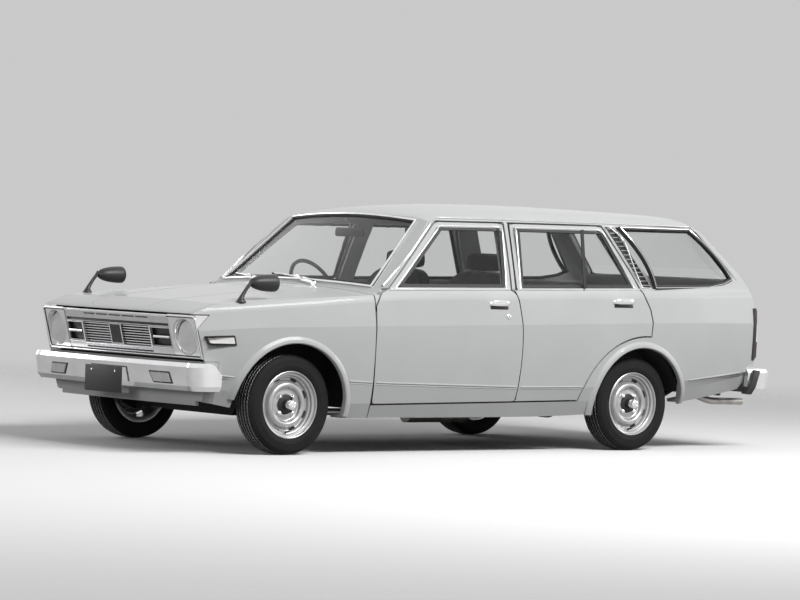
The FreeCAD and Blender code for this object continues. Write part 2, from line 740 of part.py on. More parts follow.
def band(z, corner, middle, wide, back, wall, direction):
    """Closed plan outline of a bumper at one height."""
    bend = 80
    side_wall = wall - 14
    turn_y = corner + direction * 60
    knee_y = corner - direction * 8
    inner_turn_y = turn_y + direction * wall * 0.2
    inner_knee_y = corner + direction * wall * 0.7

    def point(x, y):
        return Vector(x, behind(y), z)

    def line(a, b):
        return Part.LineSegment(a, b).toShape()

    def arc(a, middle_point, b):
        return Part.Arc(a, middle_point, b).toShape()

    def half(sign):
        return [point(sign * wide, back), point(sign * wide, turn_y),
                point(sign * (wide - bend * 0.293), turn_y - direction * bend * 0.75),
                point(sign * (wide - bend), knee_y), point(sign * (wide - bend - wall), inner_knee_y),
                point(sign * (wide - side_wall), inner_turn_y), point(sign * (wide - side_wall), back)]

    left, right = half(-1), half(1)
    return Part.Wire([
        line(left[0], left[1]), arc(left[1], left[2], left[3]), arc(left[3], point(0, middle), right[3]),
        arc(right[3], right[2], right[1]), line(right[1], right[0]), line(right[0], right[6]),
        line(right[6], right[5]), line(right[5], right[4]),
        arc(right[4], point(0, middle + direction * wall), left[4]),
        line(left[4], left[5]), line(left[5], left[6]), line(left[6], left[0])])


def bumpers():
    wall = size("bumper_wall")
    levels = [(321, -22, -14), (345, -6, -3), (440, 6, 2), (462, -2, 0)]
    rings = [band(z, -588 - out, -632 - out, 741 + side, -440, wall, 1) for z, out, side in levels]
    front = Part.makeLoft(rings, True, True)
    screws = size("plate_screws") / 2
    front = front.fuse(box(-160, 160, -645, -600, 285, 414).cut(box(-154, 154, -636, -600, 280, 322)))
    for side in (-1, 1):
        front = front.fuse(bracket(side, RAIL_INNER, RAIL_OUTER, -600, SUPPORT_FRONT))
        hole = Part.makeCylinder(size("screw_radius"), 14, Vector(side * screws, behind(-646), 392),
                                 Vector(0, 1, 0))
        front = front.cut(hole)
    for sign in (-1, 1):
        end = [(-560, 480), (-440, 480), (-440, 400), (-487, 452)]
        x0, x1 = sorted((sign * 690, sign * 800))
        front = front.cut(side_prism(end, x0, x1))
    feature(front, "bumper_front")

    levels = [(312, -20, -12), (340, -2, -2), (430, 4, 2), (448, -6, -4)]
    rings = [band(z, 3352 + out, 3380 + out, 757 + side, 3177, wall, -1) for z, out, side in levels]
    rear = Part.makeLoft(rings, True, True)
    for side in (-1, 1):
        rear = rear.fuse(bracket(side, REAR_ARM_INNER, REAR_ARM_OUTER, 3200, 3350))
    side = corner_form(-size("fit_room"))
    feature(rear.cut(side).cut(mirrored(side)), "bumper_rear")


# Wheels: a pressed steel rim and its tyre, revolved about the axle

def wheel(label, x_sign, place):
    rim = part_body("rim_" + label)
    flange = "Sizes.rim_radius"
    barrel = "Sizes.barrel_radius"
    bore = "Sizes.bore_radius"
    profile = [(bore, "0"), ("52", "0"), ("52", "14"), (barrel, "14"), (barrel, "-62"),
               (flange, "-62"), (flange, "65"), (flange + " - 10", "65"), (barrel, "52"),
               (barrel, "22"), ("125", "22"), ("111", "43"), ("89", "43"), ("82", "28"),
               ("52", "28"), ("52", "42"), ("27", "42"), ("27", "86"), ("21", "102"), ("0", "102"),
               ("0", "64"), (bore, "64")]
    revolve(rim, outline_sketch(rim, "RimProfile" + label, "XZ_Plane", profile), "Z_Axis")
    tyre = part_body("tyre_" + label)
    half = "Sizes.tyre_width/2"
    bead = flange + " + Sizes.bead_room"
    profile = [(bead, "-" + half), ("Sizes.tyre_radius", "-" + half),
               ("Sizes.tyre_radius", half + " - 22"), ("Sizes.tyre_radius - 24", half), (bead, half)]
    revolve(tyre, outline_sketch(tyre, "TyreProfile" + label, "XZ_Plane", profile), "Z_Axis")
    for thing in (rim, tyre):
        thing.Placement = Placement(Vector(0, 0, 0), Rotation(Vector(0, 1, 0), 90 * x_sign))
        side = "Sizes.wheel_plane" if x_sign > 0 else "-Sizes.wheel_plane"
        set_place(thing, side, place, "Sizes.tyre_radius")


def wheels():
    wheel("front_left", 1, "0")
    wheel("front_right", -1, "0")
    wheel("rear_left", 1, "Sizes.wheelbase")
    wheel("rear_right", -1, "Sizes.wheelbase")


# Knuckles and axles that carry the wheels

def knuckle(label, side):
    axle_z = size("tyre_radius")
    plane = size("wheel_plane")
    pin = size("kingpin_place")
    spindle = Part.makeCylinder(size("spindle_radius"), plane + 58 - pin, Vector(pin, behind(0), axle_z),
                                Vector(1, 0, 0))
    drum = Part.makeCylinder(96, 16, Vector(plane - 24, behind(0), axle_z), Vector(1, 0, 0))
    post = Part.makeCylinder(17, 190, Vector(pin, behind(0), axle_z - 95), Vector(0, 0, 1))
    block = Part.makeBox(40, 60, 80, Vector(pin - 16, behind(-30), axle_z - 40))
    shape = spindle.fuse([drum, post, block]).removeSplitter()
    if side < 0:
        shape = mirrored(shape)
    feature(shape, "knuckle_" + label)


def rear_axle():
    axle_z = size("tyre_radius")
    tube_radius = 36
    axle = part_body("rear_axle")
    end = "Sizes.wheel_plane + 58"
    drum = "Sizes.wheel_plane - 8"
    back = "Sizes.wheel_plane - 48"
    tube = str(tube_radius)
    half = [(end, "0"), (end, "Sizes.spindle_radius"), (drum, "Sizes.spindle_radius"), (drum, "96"),
            (back, "96"), (back, tube), ("110", tube), ("70", "96"), ("25", "118")]
    other = [("-(%s)" % u, v) for u, v in half[::-1]]
    revolve(axle, outline_sketch(axle, "AxleProfile", "XZ_Plane", half + other), "X_Axis")
    set_place(axle, "0", "Sizes.wheelbase", "Sizes.tyre_radius")

    leaf = 12
    eye_front, eye_back = WHEELBASE - 400, WHEELBASE + 520
    low = axle_z - tube_radius - 4 - leaf
    run = [(eye_front, 300), ((WHEELBASE, low), (eye_back, 330)), (eye_back, 330 + leaf),
           ((WHEELBASE, low + leaf), (eye_front, 300 + leaf))]
    spring = side_prism(run, 470, 526)
    pad = box(472, 524, WHEELBASE - 50, WHEELBASE + 50, low + leaf - 3, axle_z - 10)
    pad = pad.cut(cross_cylinder(tube_radius + 0.5, WHEELBASE, axle_z, 400, 600))
    deck = size("load_height") - size("floor_wall")
    pan = size("seat_pan_height") - size("floor_wall")
    hanger = box(474, 522, eye_front - 8, eye_front + 18, 298, pan)
    hanger = hanger.fuse(box(474, 522, eye_back - 14, eye_back + 12, 328, deck))
    feature(both_sides(spring.fuse([pad, hanger])), "rear_springs")

    shaft = doc.addObject("Part::Cylinder", "propshaft")
    keep(shaft, "propshaft")
    shaft.Radius = 30
    shaft.Height = WHEELBASE - 120 - 232
    shaft.Placement = Placement(Vector(0, 0, 0), Rotation(Vector(1, 0, 0), -90))
    set_place(shaft, "0", "232", "Sizes.tyre_radius + 15")


def front_subframe():
    beam = [(-350, 250), (-300, 176), (300, 176), (350, 250), (350, RAIL_LOW), (-350, RAIL_LOW)]
    cross = front_prism(beam, -52, 52)
    arm = box(300, size("kingpin_place") - 22, -26, 26, 178, 206)
    shape = cross.fuse([arm, mirrored(arm)])
    feature(shape.removeSplitter(), "front_crossmember")


# Structure under the panels

def structure():
    wall = size("floor_wall")
    floor = size("floor_height")
    pan = size("seat_pan_height")
    load = size("load_height")
    edge = size("floor_side")
    parts = []
    for side in (-1, 1):
        x0, x1 = sorted((side * RAIL_INNER, side * RAIL_OUTER))
        parts.append(box(x0, x1, SUPPORT_BACK, FIREWALL, RAIL_LOW, 392))
        x0, x1 = sorted((side * RAIL_OUTER, side * (RAIL_OUTER + wall)))
        parts.append(box(x0, x1, SUPPORT_BACK, FIREWALL, 330, 700))
    opening = box(-RADIATOR_HALF, RADIATOR_HALF, -600, -400, RADIATOR_LOW, RADIATOR_LOW + RADIATOR_TALL)
    support = box(-600, 600, SUPPORT_FRONT, SUPPORT_BACK, 300, 680).cut(opening)
    wall_front = box(-edge + 6, edge - 6, FIREWALL, FIREWALL + 14, floor - wall, 800)
    tunnel_hole = box(-TUNNEL, TUNNEL, 0, SEAT_STEP + wall, 0, floor + 78)
    shape = support.fuse(parts + [wall_front]).cut(tunnel_hole.common(box(-200, 200, 400, 500, 0, 500)))
    feature(shape.removeSplitter(), "front_structure")

    start = FIREWALL + 14
    plate = box(-edge, edge, start, SEAT_STEP, floor - wall, floor)
    riser = box(-edge, edge, SEAT_STEP, SEAT_STEP + wall, floor - wall, pan)
    seat_pan = box(-edge, edge, SEAT_STEP, LOAD_STEP, pan - wall, pan)
    step = box(-edge, edge, LOAD_STEP, LOAD_STEP + wall, pan - wall, load)
    deck = box(-edge, edge, LOAD_STEP, TAIL_LAMP_FRONT - 8, load - wall, load)
    deck = deck.fuse(box(-TAIL_LAMP_INNER + 4, TAIL_LAMP_INNER - 4, TAIL_LAMP_FRONT - 8, DECK_END,
                         load - wall, load))
    tunnel = box(-TUNNEL - wall, TUNNEL + wall, start, SEAT_STEP, floor - wall, floor + 78 + wall)
    shape = plate.fuse([riser, seat_pan, step, deck, tunnel]).cut(tunnel_hole)
    for side in (-1, 1):
        x0, x1 = sorted((side * REAR_RAIL_INNER, side * REAR_RAIL_OUTER))
        shape = shape.fuse(box(x0, x1, LOAD_STEP + wall, 3220, 385, load - wall))
    well = size("arch_radius") + 14
    sheet_wall = 10
    for side in (-1, 1):
        x0, x1 = sorted((side * HOUSE_INNER, side * 700))
        shape = shape.cut(cross_cylinder(well + sheet_wall + size("seam_room"), *REAR_ARCH, x0, x1))
    feature(shape.removeSplitter(), "floor_pan")
    tub = cross_cylinder(well + sheet_wall, *REAR_ARCH, HOUSE_INNER, HOUSE_OUTER)
    tub = tub.cut(cross_cylinder(well, *REAR_ARCH, HOUSE_INNER + sheet_wall, 800))
    tub = tub.cut(box(0, 800, 1800, 2900, -200, 325))
    feature(both_sides(tub), "wheel_houses")


def machinery():
    engine = part_body("engine_block")
    profile = [("-330", "0"), ("230", "0"), ("230", "300"), ("120", "380"), ("-330", "380")]
    sketch = outline_sketch(engine, "EngineSide", "YZ_Plane", profile)
    pad_across(engine, sketch, "380")
    set_place(engine, "0", "0", str(RAIL_LOW))

    radiator = doc.addObject("Part::Box", "radiator")
    keep(radiator, "radiator")
    radiator.Length = 2 * RADIATOR_HALF
    radiator.Width = 40
    radiator.Height = RADIATOR_TALL
    set_place(radiator, str(-RADIATOR_HALF), str(SUPPORT_FRONT - 10), str(RADIATOR_LOW))

    tank = part_body("fuel_tank")
    profile = [("0", "0"), ("360", "0"), ("390", "40"), ("390", "180"), ("-40", "180"), ("-40", "60")]
    sketch = outline_sketch(tank, "TankSide", "YZ_Plane", profile)
    pad_across(tank, sketch, "640")
    set_place(tank, "0", "2740", "Sizes.load_height - Sizes.floor_wall - 180")

    radius = size("tube_radius")
    run = [(230, 300, 300), (230, 470, 190), (230, 1850, 180), (340, 2010, 195), (430, 2296, 338),
           (430, 2900, 346), (575, 3060, 262), (575, 3306, 258)]
    points = [Vector(x, behind(y), z) for x, y, z in run]
    path = rounded_path(points, 70)
    profile = Part.Wire(Part.Circle(points[0], points[1] - points[0], radius).toShape())
    pipe = path.makePipeShell([profile], True, False)
    silencer = Part.makeCylinder(48, 420, Vector(230, behind(1150), 177), Vector(0, 1, 0))
    feature(pipe.fuse(silencer), "exhaust")


def rounded_path(points, radius):
    """Straight runs joined by tangent arcs."""
    edges = []
    start = points[0]
    for before, corner, after in zip(points, points[1:], points[2:]):
        inward = (before - corner).normalize()
        onward = (after - corner).normalize()
        half = (math.pi - inward.getAngle(onward)) / 2
        reach = radius * math.tan(half)
        a = corner + inward * reach
        b = corner + onward * reach
        bisector = (inward + onward).normalize()
        middle = corner + bisector * (radius / math.cos(half) - radius)
        edges.append(Part.LineSegment(start, a).toShape())
        edges.append(Part.Arc(a, middle, b).toShape())
        start = b
    edges.append(Part.LineSegment(start, points[-1]).toShape())
    return Part.Wire(edges)


# Cabin

def seat_shape(label, outline, width):
    seat = part_body(label)
    sketch = outline_sketch(seat, label + "Side", "YZ_Plane", outline)
    pad_across(seat, sketch, width)
    return seat


def cabin():
    base = "Sizes.floor_height"
    outline = [("0", "0"), ("470", "0"), ("600", "590"), ("600", "620"), ("640", "630"), ("650", "805"),
               ("590", "805"), ("570", "650"), ("520", "620"), ("400", "160"), ("0", "190")]
    for label, side in (("seat_front_left", ""), ("seat_front_right", "-")):
        seat = seat_shape(label, outline, "Sizes.seat_width")
        set_place(seat, side + "Sizes.seat_place", "960", base)
    outline = [("0", "0"), ("408", "0"), ("408", "160"), ("500", "420"), ("410", "430"), ("310", "130"),
               ("0", "150")]
    rear = seat_shape("seat_rear", outline, "1060")
    set_place(rear, "0", "1810", "Sizes.seat_pan_height")

    dash = [(575, 560), (700, 560), (760, 640), (800, 780), (790, 840), ((700, 872), (610, 850)),
            (575, 820)]
    column = Part.makeCylinder(COLUMN_RADIUS + 6, 400, STEERING_HUB, STEERING_AXIS * -1)
    feature(side_prism(dash, -628, 628).cut(column), "dashboard")

    steering_wheel()


def steering_wheel():
    radius = size("steering_radius")
    grip = 11
    corners = [Vector(radius + grip * math.cos(math.radians(turn)), 0, grip * math.sin(math.radians(turn)))
               for turn in range(30, 390, 60)]
    section = Part.Face(Part.makePolygon(corners + corners[:1]))
    rim = section.revolve(Vector(0, 0, 0), Vector(0, 0, 1), 360)
    boss = Part.makeCylinder(38, 50, Vector(0, 0, -30))
    column = Part.makeCylinder(COLUMN_RADIUS, 220, Vector(0, 0, -245))
    spoke = Part.makeBox(2 * radius, 26, 9, Vector(-radius, -13, -4))
    wheel_shape = rim.fuse([boss, column, spoke])
    wheel_shape.Placement = Placement(STEERING_HUB, Rotation(Vector(0, 0, 1), STEERING_AXIS))
    feature(wheel_shape, "steering_wheel")


def mirrors():
    foot = Part.makeCone(22, 12, 34, Vector(688, behind(-300), 750), Vector(0, 0, 1))
    arm = Part.makeCylinder(8, 130, Vector(688, behind(-300), 772), Vector(-0.02, 0.8, 0.55))
    head = Part.makeCone(12, 35, 140, Vector(682, behind(-240), 862), Vector(0, 1, 0))
    rim = Part.makeCylinder(35, 14, Vector(682, behind(-100), 862), Vector(0, 1, 0))
    shape = foot.fuse([arm, head, rim])
    feature(both_sides(shape.cut(corner_form(-size("fit_room")))), "fender_mirrors")


front_panels()
fixed_glass()
doors()
side_frames()
roof()
tail()
grille()
headlamps()
bumpers()
wheels()
knuckle("left", 1)
knuckle("right", -1)
rear_axle()
front_subframe()
structure()
machinery()
cabin()
mirrors()
doc.recompute()

# Checks, then the files
for thing in doc.Objects:
    if "Invalid" in thing.State or "Error" in thing.State:
        raise RuntimeError("failed object: " + thing.Label)
for thing in nodes:
    if thing.Shape.isNull() or not thing.Shape.isValid():
        raise RuntimeError("bad shape: " + thing.Label)
    if thing.Shape.Volume <= 0:
        raise RuntimeError("empty shape: " + thing.Label)
for thing in nodes:
    thing.Shape.exportStep("parts/%s.step" % thing.Label)
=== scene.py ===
import json
import math

import bmesh
import bpy
import numpy as np
from mathutils import Matrix, Vector
from mathutils.bvhtree import BVHTree


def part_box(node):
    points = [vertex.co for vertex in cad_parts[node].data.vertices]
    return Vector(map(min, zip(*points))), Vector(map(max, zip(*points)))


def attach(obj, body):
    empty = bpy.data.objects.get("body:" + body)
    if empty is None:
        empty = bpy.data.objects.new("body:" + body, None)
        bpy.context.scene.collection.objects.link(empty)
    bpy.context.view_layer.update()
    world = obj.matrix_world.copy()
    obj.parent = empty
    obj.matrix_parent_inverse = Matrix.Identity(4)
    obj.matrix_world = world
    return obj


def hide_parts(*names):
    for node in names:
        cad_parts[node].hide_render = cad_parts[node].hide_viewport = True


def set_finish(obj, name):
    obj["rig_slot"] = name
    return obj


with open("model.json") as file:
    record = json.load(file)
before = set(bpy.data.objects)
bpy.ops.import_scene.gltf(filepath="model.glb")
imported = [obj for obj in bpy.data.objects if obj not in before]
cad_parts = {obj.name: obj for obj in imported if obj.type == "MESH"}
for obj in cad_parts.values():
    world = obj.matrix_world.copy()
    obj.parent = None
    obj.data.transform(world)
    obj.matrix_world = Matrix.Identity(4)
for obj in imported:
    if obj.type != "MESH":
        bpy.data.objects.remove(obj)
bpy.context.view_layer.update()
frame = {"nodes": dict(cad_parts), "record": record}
nodes = frame["nodes"]

# Places along the car are in mm behind the front axle, and heights in mm above the ground

MM = 0.001
rim_low, rim_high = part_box("rim_front_left")
FRONT_AXLE = (rim_low[1] + rim_high[1]) / 2
AXLE_HEIGHT = (rim_low[2] + rim_high[2]) / 2
WHEELBASE = 2340
WHEEL_PLANE = 662
SHELL = "shell"
SIDES = (("left", 1), ("right", -1))
BACKWARD = Vector((0, 1, 0))
UP = Vector((0, 0, 1))

# Nose surface: a leaning face that curves back towards the sides; bend, turn and recess in metres
NOSE_FRONT = -545
NOSE_LEVEL = 455
NOSE_LEAN = 67 / 249
NOSE_BEND = 15.0
NOSE_TURN = 0.133
GRILLE_RECESS = 0.0125


def behind(y):
    """Place along the car in metres, from mm behind the front axle."""
    return FRONT_AXLE + y * MM


def at(x, y, z):
    return Vector((x * MM, behind(y), z * MM))


def nose_y(x, z):
    return NOSE_FRONT - (z - NOSE_LEVEL) * NOSE_LEAN + x * x / (NOSE_BEND * 1000)


def camera():
    """Camera at the photograph's viewing angle, aimed at the middle of the car."""
    azimuth, elevation, roll = (math.radians(turn) for turn in (51.217, 1.089, 2.0))
    distance = 19.992
    target = at(0, 1274, 779)
    level = math.cos(elevation)
    back = Vector((math.sin(azimuth) * level, -math.cos(azimuth) * level, math.sin(elevation)))
    right = (-back).cross(UP).normalized()
    up = right.cross(-back)
    turned_right = right * math.cos(roll) + up * math.sin(roll)
    turned_up = up * math.cos(roll) - right * math.sin(roll)
    data = bpy.data.cameras.new("Camera")
    data.sensor_width = 36
    data.lens = 165.86
    data.clip_end = 200
    thing = bpy.data.objects.new("Camera", data)
    bpy.context.scene.collection.objects.link(thing)
    turn = Matrix((turned_right, turned_up, back)).transposed().to_4x4()
    thing.matrix_world = Matrix.Translation(target + back * distance) @ turn
    bpy.context.scene.camera = thing


# Node trees

def give(tree, socket, value):
    """Link an output to the socket, or store a plain value on it."""
    if isinstance(value, bpy.types.NodeSocket):
        tree.links.new(value, socket)
    else:
        socket.default_value = value


def add_node(tree, kind, inputs=(), **settings):
    """Shader node with its settings made first and its inputs given after them."""
    node = tree.nodes.new("ShaderNode" + kind)
    for key, value in settings.items():
        setattr(node, key, value)
    for key, value in dict(inputs).items():
        give(tree, node.inputs[key], value)
    return node


# Lamps, as place, aim, width, height and power; floor and backdrop

LAMPS = {
    "overhead": ((0.2, 1.6, 5.8), (0, 1.6, 0.4), 5.5, 6, 20),
    "side": ((6.8, 0.8, 6.5), (0, 0.4, 0.8), 7, 2.0, 880),
    "fill": ((-8.0, -2.5, 3.2), (0, 0.2, 0.7), 6, 2.5, 150),
    "rear": ((4.0, 9.0, 3.0), (0, 1.5, 0.7), 5, 2.2, 130),
    "front": ((2.5, -9.0, 2.6), (0, -1.0, 0.7), 5, 2.2, 150)}
LIT_GREY, MIRRORED_GREY, BACKDROP_GREY = 0.11, 1.0, 0.585
FADE_START, FADE_END = 3.0, 11.0


def area_lamp(name, place, aim, width, height, power):
    data = bpy.data.lights.new(name, "AREA")
    data.shape = "RECTANGLE"
    data.size = width
    data.size_y = height
    data.energy = power
    thing = bpy.data.objects.new(name, data)
    thing.location = place
    thing.rotation_euler = (Vector(aim) - Vector(place)).to_track_quat("-Z", "Y").to_euler()
    bpy.context.scene.collection.objects.link(thing)


def studio():
    for name, setting in LAMPS.items():
        area_lamp(name, *setting)

    world = bpy.data.worlds.new("Studio")
    bpy.context.scene.world = world
    world.use_nodes = True
    tree = world.node_tree
    tree.nodes.clear()
    rays = add_node(tree, "LightPath").outputs
    seen = add_node(tree, "Math", {0: rays["Is Camera Ray"], 1: rays["Is Transmission Ray"]},
                    operation="MAXIMUM")
    lit, mirrored, backdrop = [
        add_node(tree, "Background", {"Color": (grey, grey, grey, 1), "Strength": 1.0}).outputs[0]
        for grey in (LIT_GREY, MIRRORED_GREY, BACKDROP_GREY)]
    shiny = add_node(tree, "MixShader", {"Fac": rays["Is Glossy Ray"], 1: lit, 2: mirrored})
    mix = add_node(tree, "MixShader", {"Fac": seen.outputs[0], 1: shiny.outputs[0], 2: backdrop})
    add_node(tree, "OutputWorld", {"Surface": mix.outputs[0]})

    bpy.ops.mesh.primitive_plane_add(size=60, location=(0, 0, 0))
    floor = bpy.context.object
    floor.name = "studio_floor"
    floor.data.materials.append(floor_finish())


def floor_finish():
    """Pale floor that fades into the backdrop with distance, and gives the car less light back."""
    material = finish("floor")
    tree = material.node_tree
    shader = tree.nodes["Principled BSDF"]
    rays = add_node(tree, "LightPath").outputs
    dim = add_node(tree, "Mix", data_type="RGBA", inputs={
        "Factor": rays["Is Diffuse Ray"], "A": (0.7, 0.7, 0.7, 1), "B": (0.06, 0.06, 0.06, 1)})
    mix = add_node(tree, "Mix", data_type="RGBA", inputs={
        "Factor": rays["Is Camera Ray"], "A": dim.outputs["Result"],
        "B": tree.nodes["Tint"].outputs["Vector"]})
    place = add_node(tree, "TexCoord").outputs["Object"]
    far = add_node(tree, "VectorMath", {0: place}, operation="LENGTH").outputs["Value"]
    fade = add_node(tree, "MapRange", interpolation_type="SMOOTHSTEP", inputs={
        "Value": far, "From Min": FADE_START, "From Max": FADE_END, "To Min": 1.0, "To Max": 0.0})
    give(tree, shader.inputs["Base Color"], mix.outputs["Result"])
    give(tree, shader.inputs["Alpha"], fade.outputs["Result"])
    return material


# Looks: the slot, the material's name, its colour and roughness, and what differs from a plain one

PLAIN = dict(metal=0.0, coat=0.0, transmission=0.0, ior=1.45, sheen=0.0, specular=0.5, grain=30.0,
             vary=0.06, bump=0.05, fine=400.0, rough_vary=0.12)
COAT_ROUGHNESS = 0.06
# Near-black of the grille's recesses: painted shade
RECESS_SHADE_GREY = (0.012, 0.012, 0.013, 1)


def spec(slot, name, colour, rough, **more):
    return slot, name, colour, rough, dict(PLAIN, **more)


LOOKS = {
    "floor": spec(None, "floor", (0.9, 0.9, 0.9), 0.9, vary=0.01, bump=0.0),
    "paint": spec("body_paint", "silver_paint", (0.49, 0.497, 0.495), 0.34, coat=0.2, specular=0.2,
                  grain=3.0, vary=0.03, bump=0.015, fine=500),
    "chrome": spec("bright", "bright_metal", (0.74, 0.74, 0.75), 0.14, metal=1.0, grain=12,
                   vary=0.05, bump=0.01),
    "satin": spec("bright", "satin_metal", (0.56, 0.56, 0.57), 0.33, metal=0.85, grain=20,
                  bump=0.04),
    "rubber": spec("trim_plastic", "black_rubber", (0.016, 0.016, 0.017), 0.5, grain=60, vary=0.2,
                   bump=0.1, fine=700),
    # Pale grey on the tread's groove faces: painted highlight for light caught in the tread pattern
    "groove": spec("tyre", "groove_painted_highlight", (0.5, 0.5, 0.5), 0.8, grain=60, vary=0.25, bump=0.2,
                   fine=700),
    "tyre": spec("tyre", "tyre_rubber", (0.012, 0.012, 0.0125), 0.7, grain=9, vary=0.3, bump=0.15,
                 fine=500, specular=0.2),
    "window": spec("window", "window_glass", (0.93, 0.94, 0.935), 0.01, grain=2, vary=0.01,
                   bump=0.0, transmission=1.0, ior=1.25, rough_vary=0.5),
    "black": spec("trim_plastic", "black_plastic", (0.02, 0.02, 0.021), 0.42, grain=80, vary=0.15,
                  bump=0.12, fine=900),
    "underseal": spec("underbody", "underseal", (0.018, 0.017, 0.016), 0.7, grain=20, vary=0.3,
                      bump=0.4, fine=220),
    "iron": spec("engine", "cast_iron", (0.07, 0.068, 0.065), 0.6, metal=0.5, grain=40, vary=0.3,
                 bump=0.4, fine=260),
    "wheel": spec("wheel_steel", "wheel_silver", (0.46, 0.46, 0.46), 0.3, metal=0.6, coat=0.25,
                  grain=25, bump=0.03),
    "cloth": spec("seat_cloth", "grey_cloth", (0.05, 0.05, 0.053), 0.85, grain=90, vary=0.3,
                  bump=0.5, fine=900, sheen=0.3),
    "hub": spec("underbody", "hub_black", (0.012, 0.012, 0.012), 0.6, grain=40, vary=0.4, bump=0.3,
                fine=300),
    "pipe": spec("pipe", "pipe_steel", (0.42, 0.4, 0.38), 0.4, metal=0.9, grain=15, vary=0.2,
                 bump=0.1, fine=200),
    "red": spec("tail_lens", "red_lens", (0.1, 0.004, 0.004), 0.15, coat=0.5, grain=20, vary=0.1),
    "amber": spec("tail_lens", "amber_lens", (0.62, 0.30, 0.08), 0.16, coat=0.5, grain=20,
                  vary=0.08, bump=0.06, fine=300),
    "pale": spec("lamp_glass", "pale_lens", (0.78, 0.77, 0.75), 0.14, coat=0.6, grain=20,
                 bump=0.08, fine=300),
    "fluted": spec("lamp_glass", "fluted_glass", (0.98, 0.98, 0.98), 0.06, grain=20, vary=0.02,
                   bump=0.35, fine=70, transmission=0.2),
    "grille": spec("grille_black", "grille_paint", (0.6, 0.6, 0.61), 0.28, metal=0.75, coat=0.2,
                   grain=20, vary=0.05, bump=0.02)}
# Black of the grille's gaps: painted shade in the vents and the slot, and the blank middle plate
LOOKS["grille_gap"] = ("grille_black",) + LOOKS["black"][1:]
SLOT_LOOKS = {
    "body_paint": "paint", "underbody": "underseal", "engine": "iron", "window": "window",
    "lamp_glass": "fluted", "tail_lens": "red", "bright": "chrome", "grille_black": "black",
    "wheel_steel": "wheel", "tyre": "rubber", "trim_plastic": "black", "seat_cloth": "cloth",
    "pipe": "pipe"}
finishes = {}


def finish(look):
    """Material with uneven colour, uneven gloss and fine relief, all on object coordinates."""
    _, name, colour, rough, given = LOOKS[look]
    if name in finishes:
        return finishes[name]
    material = finishes[name] = bpy.data.materials.new(name)
    material.use_nodes = True
    tree = material.node_tree
    shader = tree.nodes["Principled BSDF"]
    for key, value in (("Metallic", given["metal"]), ("Coat Weight", given["coat"]),
                       ("Coat Roughness", COAT_ROUGHNESS), ("IOR", given["ior"]),
                       ("Transmission Weight", given["transmission"]),
                       ("Sheen Weight", given["sheen"]), ("Specular IOR Level", given["specular"])):
        shader.inputs[key].default_value = value
    place = add_node(tree, "TexCoord").outputs["Object"]
    broad = add_node(tree, "TexNoise", {"Vector": place, "Scale": given["grain"], "Detail": 5})
    tone = add_node(tree, "MapRange", {
        "Value": broad.outputs["Fac"], "From Min": 0.3, "From Max": 0.7,
        "To Min": 1 - given["vary"], "To Max": 1 + given["vary"]})
    tint = add_node(tree, "VectorMath", name="Tint", operation="SCALE", inputs={
        0: colour, "Scale": tone.outputs["Result"]})
    give(tree, shader.inputs["Base Color"], tint.outputs["Vector"])
    gloss = add_node(tree, "MapRange", {
        "Value": broad.outputs["Fac"], "To Min": max(0.0, rough * (1 - given["rough_vary"])),
        "To Max": min(1.0, rough * (1 + given["rough_vary"]))})
    give(tree, shader.inputs["Roughness"], gloss.outputs["Result"])
    if given["bump"]:
        small = add_node(tree, "TexNoise", {"Vector": place, "Scale": given["fine"], "Detail": 3})
        relief = add_node(tree, "Bump", {
            "Height": small.outputs["Fac"], "Strength": given["bump"], "Distance": 0.001})
        give(tree, shader.inputs["Normal"], relief.outputs["Normal"])
    return material


def grille_finish():
    """Silver in front and black in the recesses, told apart by depth behind the nose; the black is
    painted shade.
    """
    material = finish("grille")
    tree = material.node_tree
    place = add_node(tree, "TexCoord").outputs["Object"]
    split = add_node(tree, "SeparateXYZ", {0: place}).outputs

    def maths(operation, first, second):
        return add_node(tree, "Math", {0: first, 1: second}, operation=operation).outputs[0]

    lean = maths("MULTIPLY", split["Z"], NOSE_LEAN)
    bend = maths("DIVIDE", maths("MULTIPLY", split["X"], split["X"]), NOSE_BEND)
    start = behind(NOSE_FRONT) + NOSE_LEVEL * MM * NOSE_LEAN
    depth = maths("SUBTRACT", maths("ADD", split["Y"], lean), maths("ADD", bend, start))
    # Deeper than the recess line: painted shade, near-black and less metallic
    dark = maths("GREATER_THAN", depth, GRILLE_RECESS)
    mix = add_node(tree, "Mix", data_type="RGBA", inputs={
        "Factor": dark, "A": tree.nodes["Tint"].outputs["Vector"], "B": RECESS_SHADE_GREY})
    shader = tree.nodes["Principled BSDF"]
    give(tree, shader.inputs["Base Color"], mix.outputs["Result"])
    metal = LOOKS["grille"][-1]["metal"]
    give(tree, shader.inputs["Metallic"], maths("SUBTRACT", metal, maths("MULTIPLY", dark, 0.7)))
    return material


def dress_nodes():
    slots = {entry["node"]: entry["material_slot"] for entry in frame["record"]["subparts"]}
    for name, thing in nodes.items():
        material = grille_finish() if name == "grille" else finish(SLOT_LOOKS[slots[name]])
        if not thing.data.materials:
            thing.data.materials.append(material)
        for index in range(len(thing.data.materials)):
            thing.data.materials[index] = material


# Meshes

SMOOTH_BELOW = 38.0


def settle(thing, sharp=SMOOTH_BELOW):
    """Outward normals and smooth shading that breaks at sharp edges."""
    work = bmesh.new()
    work.from_mesh(thing.data)
    bmesh.ops.remove_doubles(work, verts=work.verts, dist=1e-6)
    bmesh.ops.recalc_face_normals(work, faces=work.faces)
    for face in work.faces:
        face.smooth = True
    limit = math.radians(sharp)
    for edge in work.edges:
        edge.smooth = len(edge.link_faces) == 2 and edge.calc_face_angle(0.0) < limit
    work.to_mesh(thing.data)
    work.free()


def bare_thing(name, points, faces):
    mesh = bpy.data.meshes.new(name)
    mesh.from_pydata([tuple(point) for point in points], [], faces)
    thing = bpy.data.objects.new(name, mesh)
    bpy.context.scene.collection.objects.link(thing)
    return thing


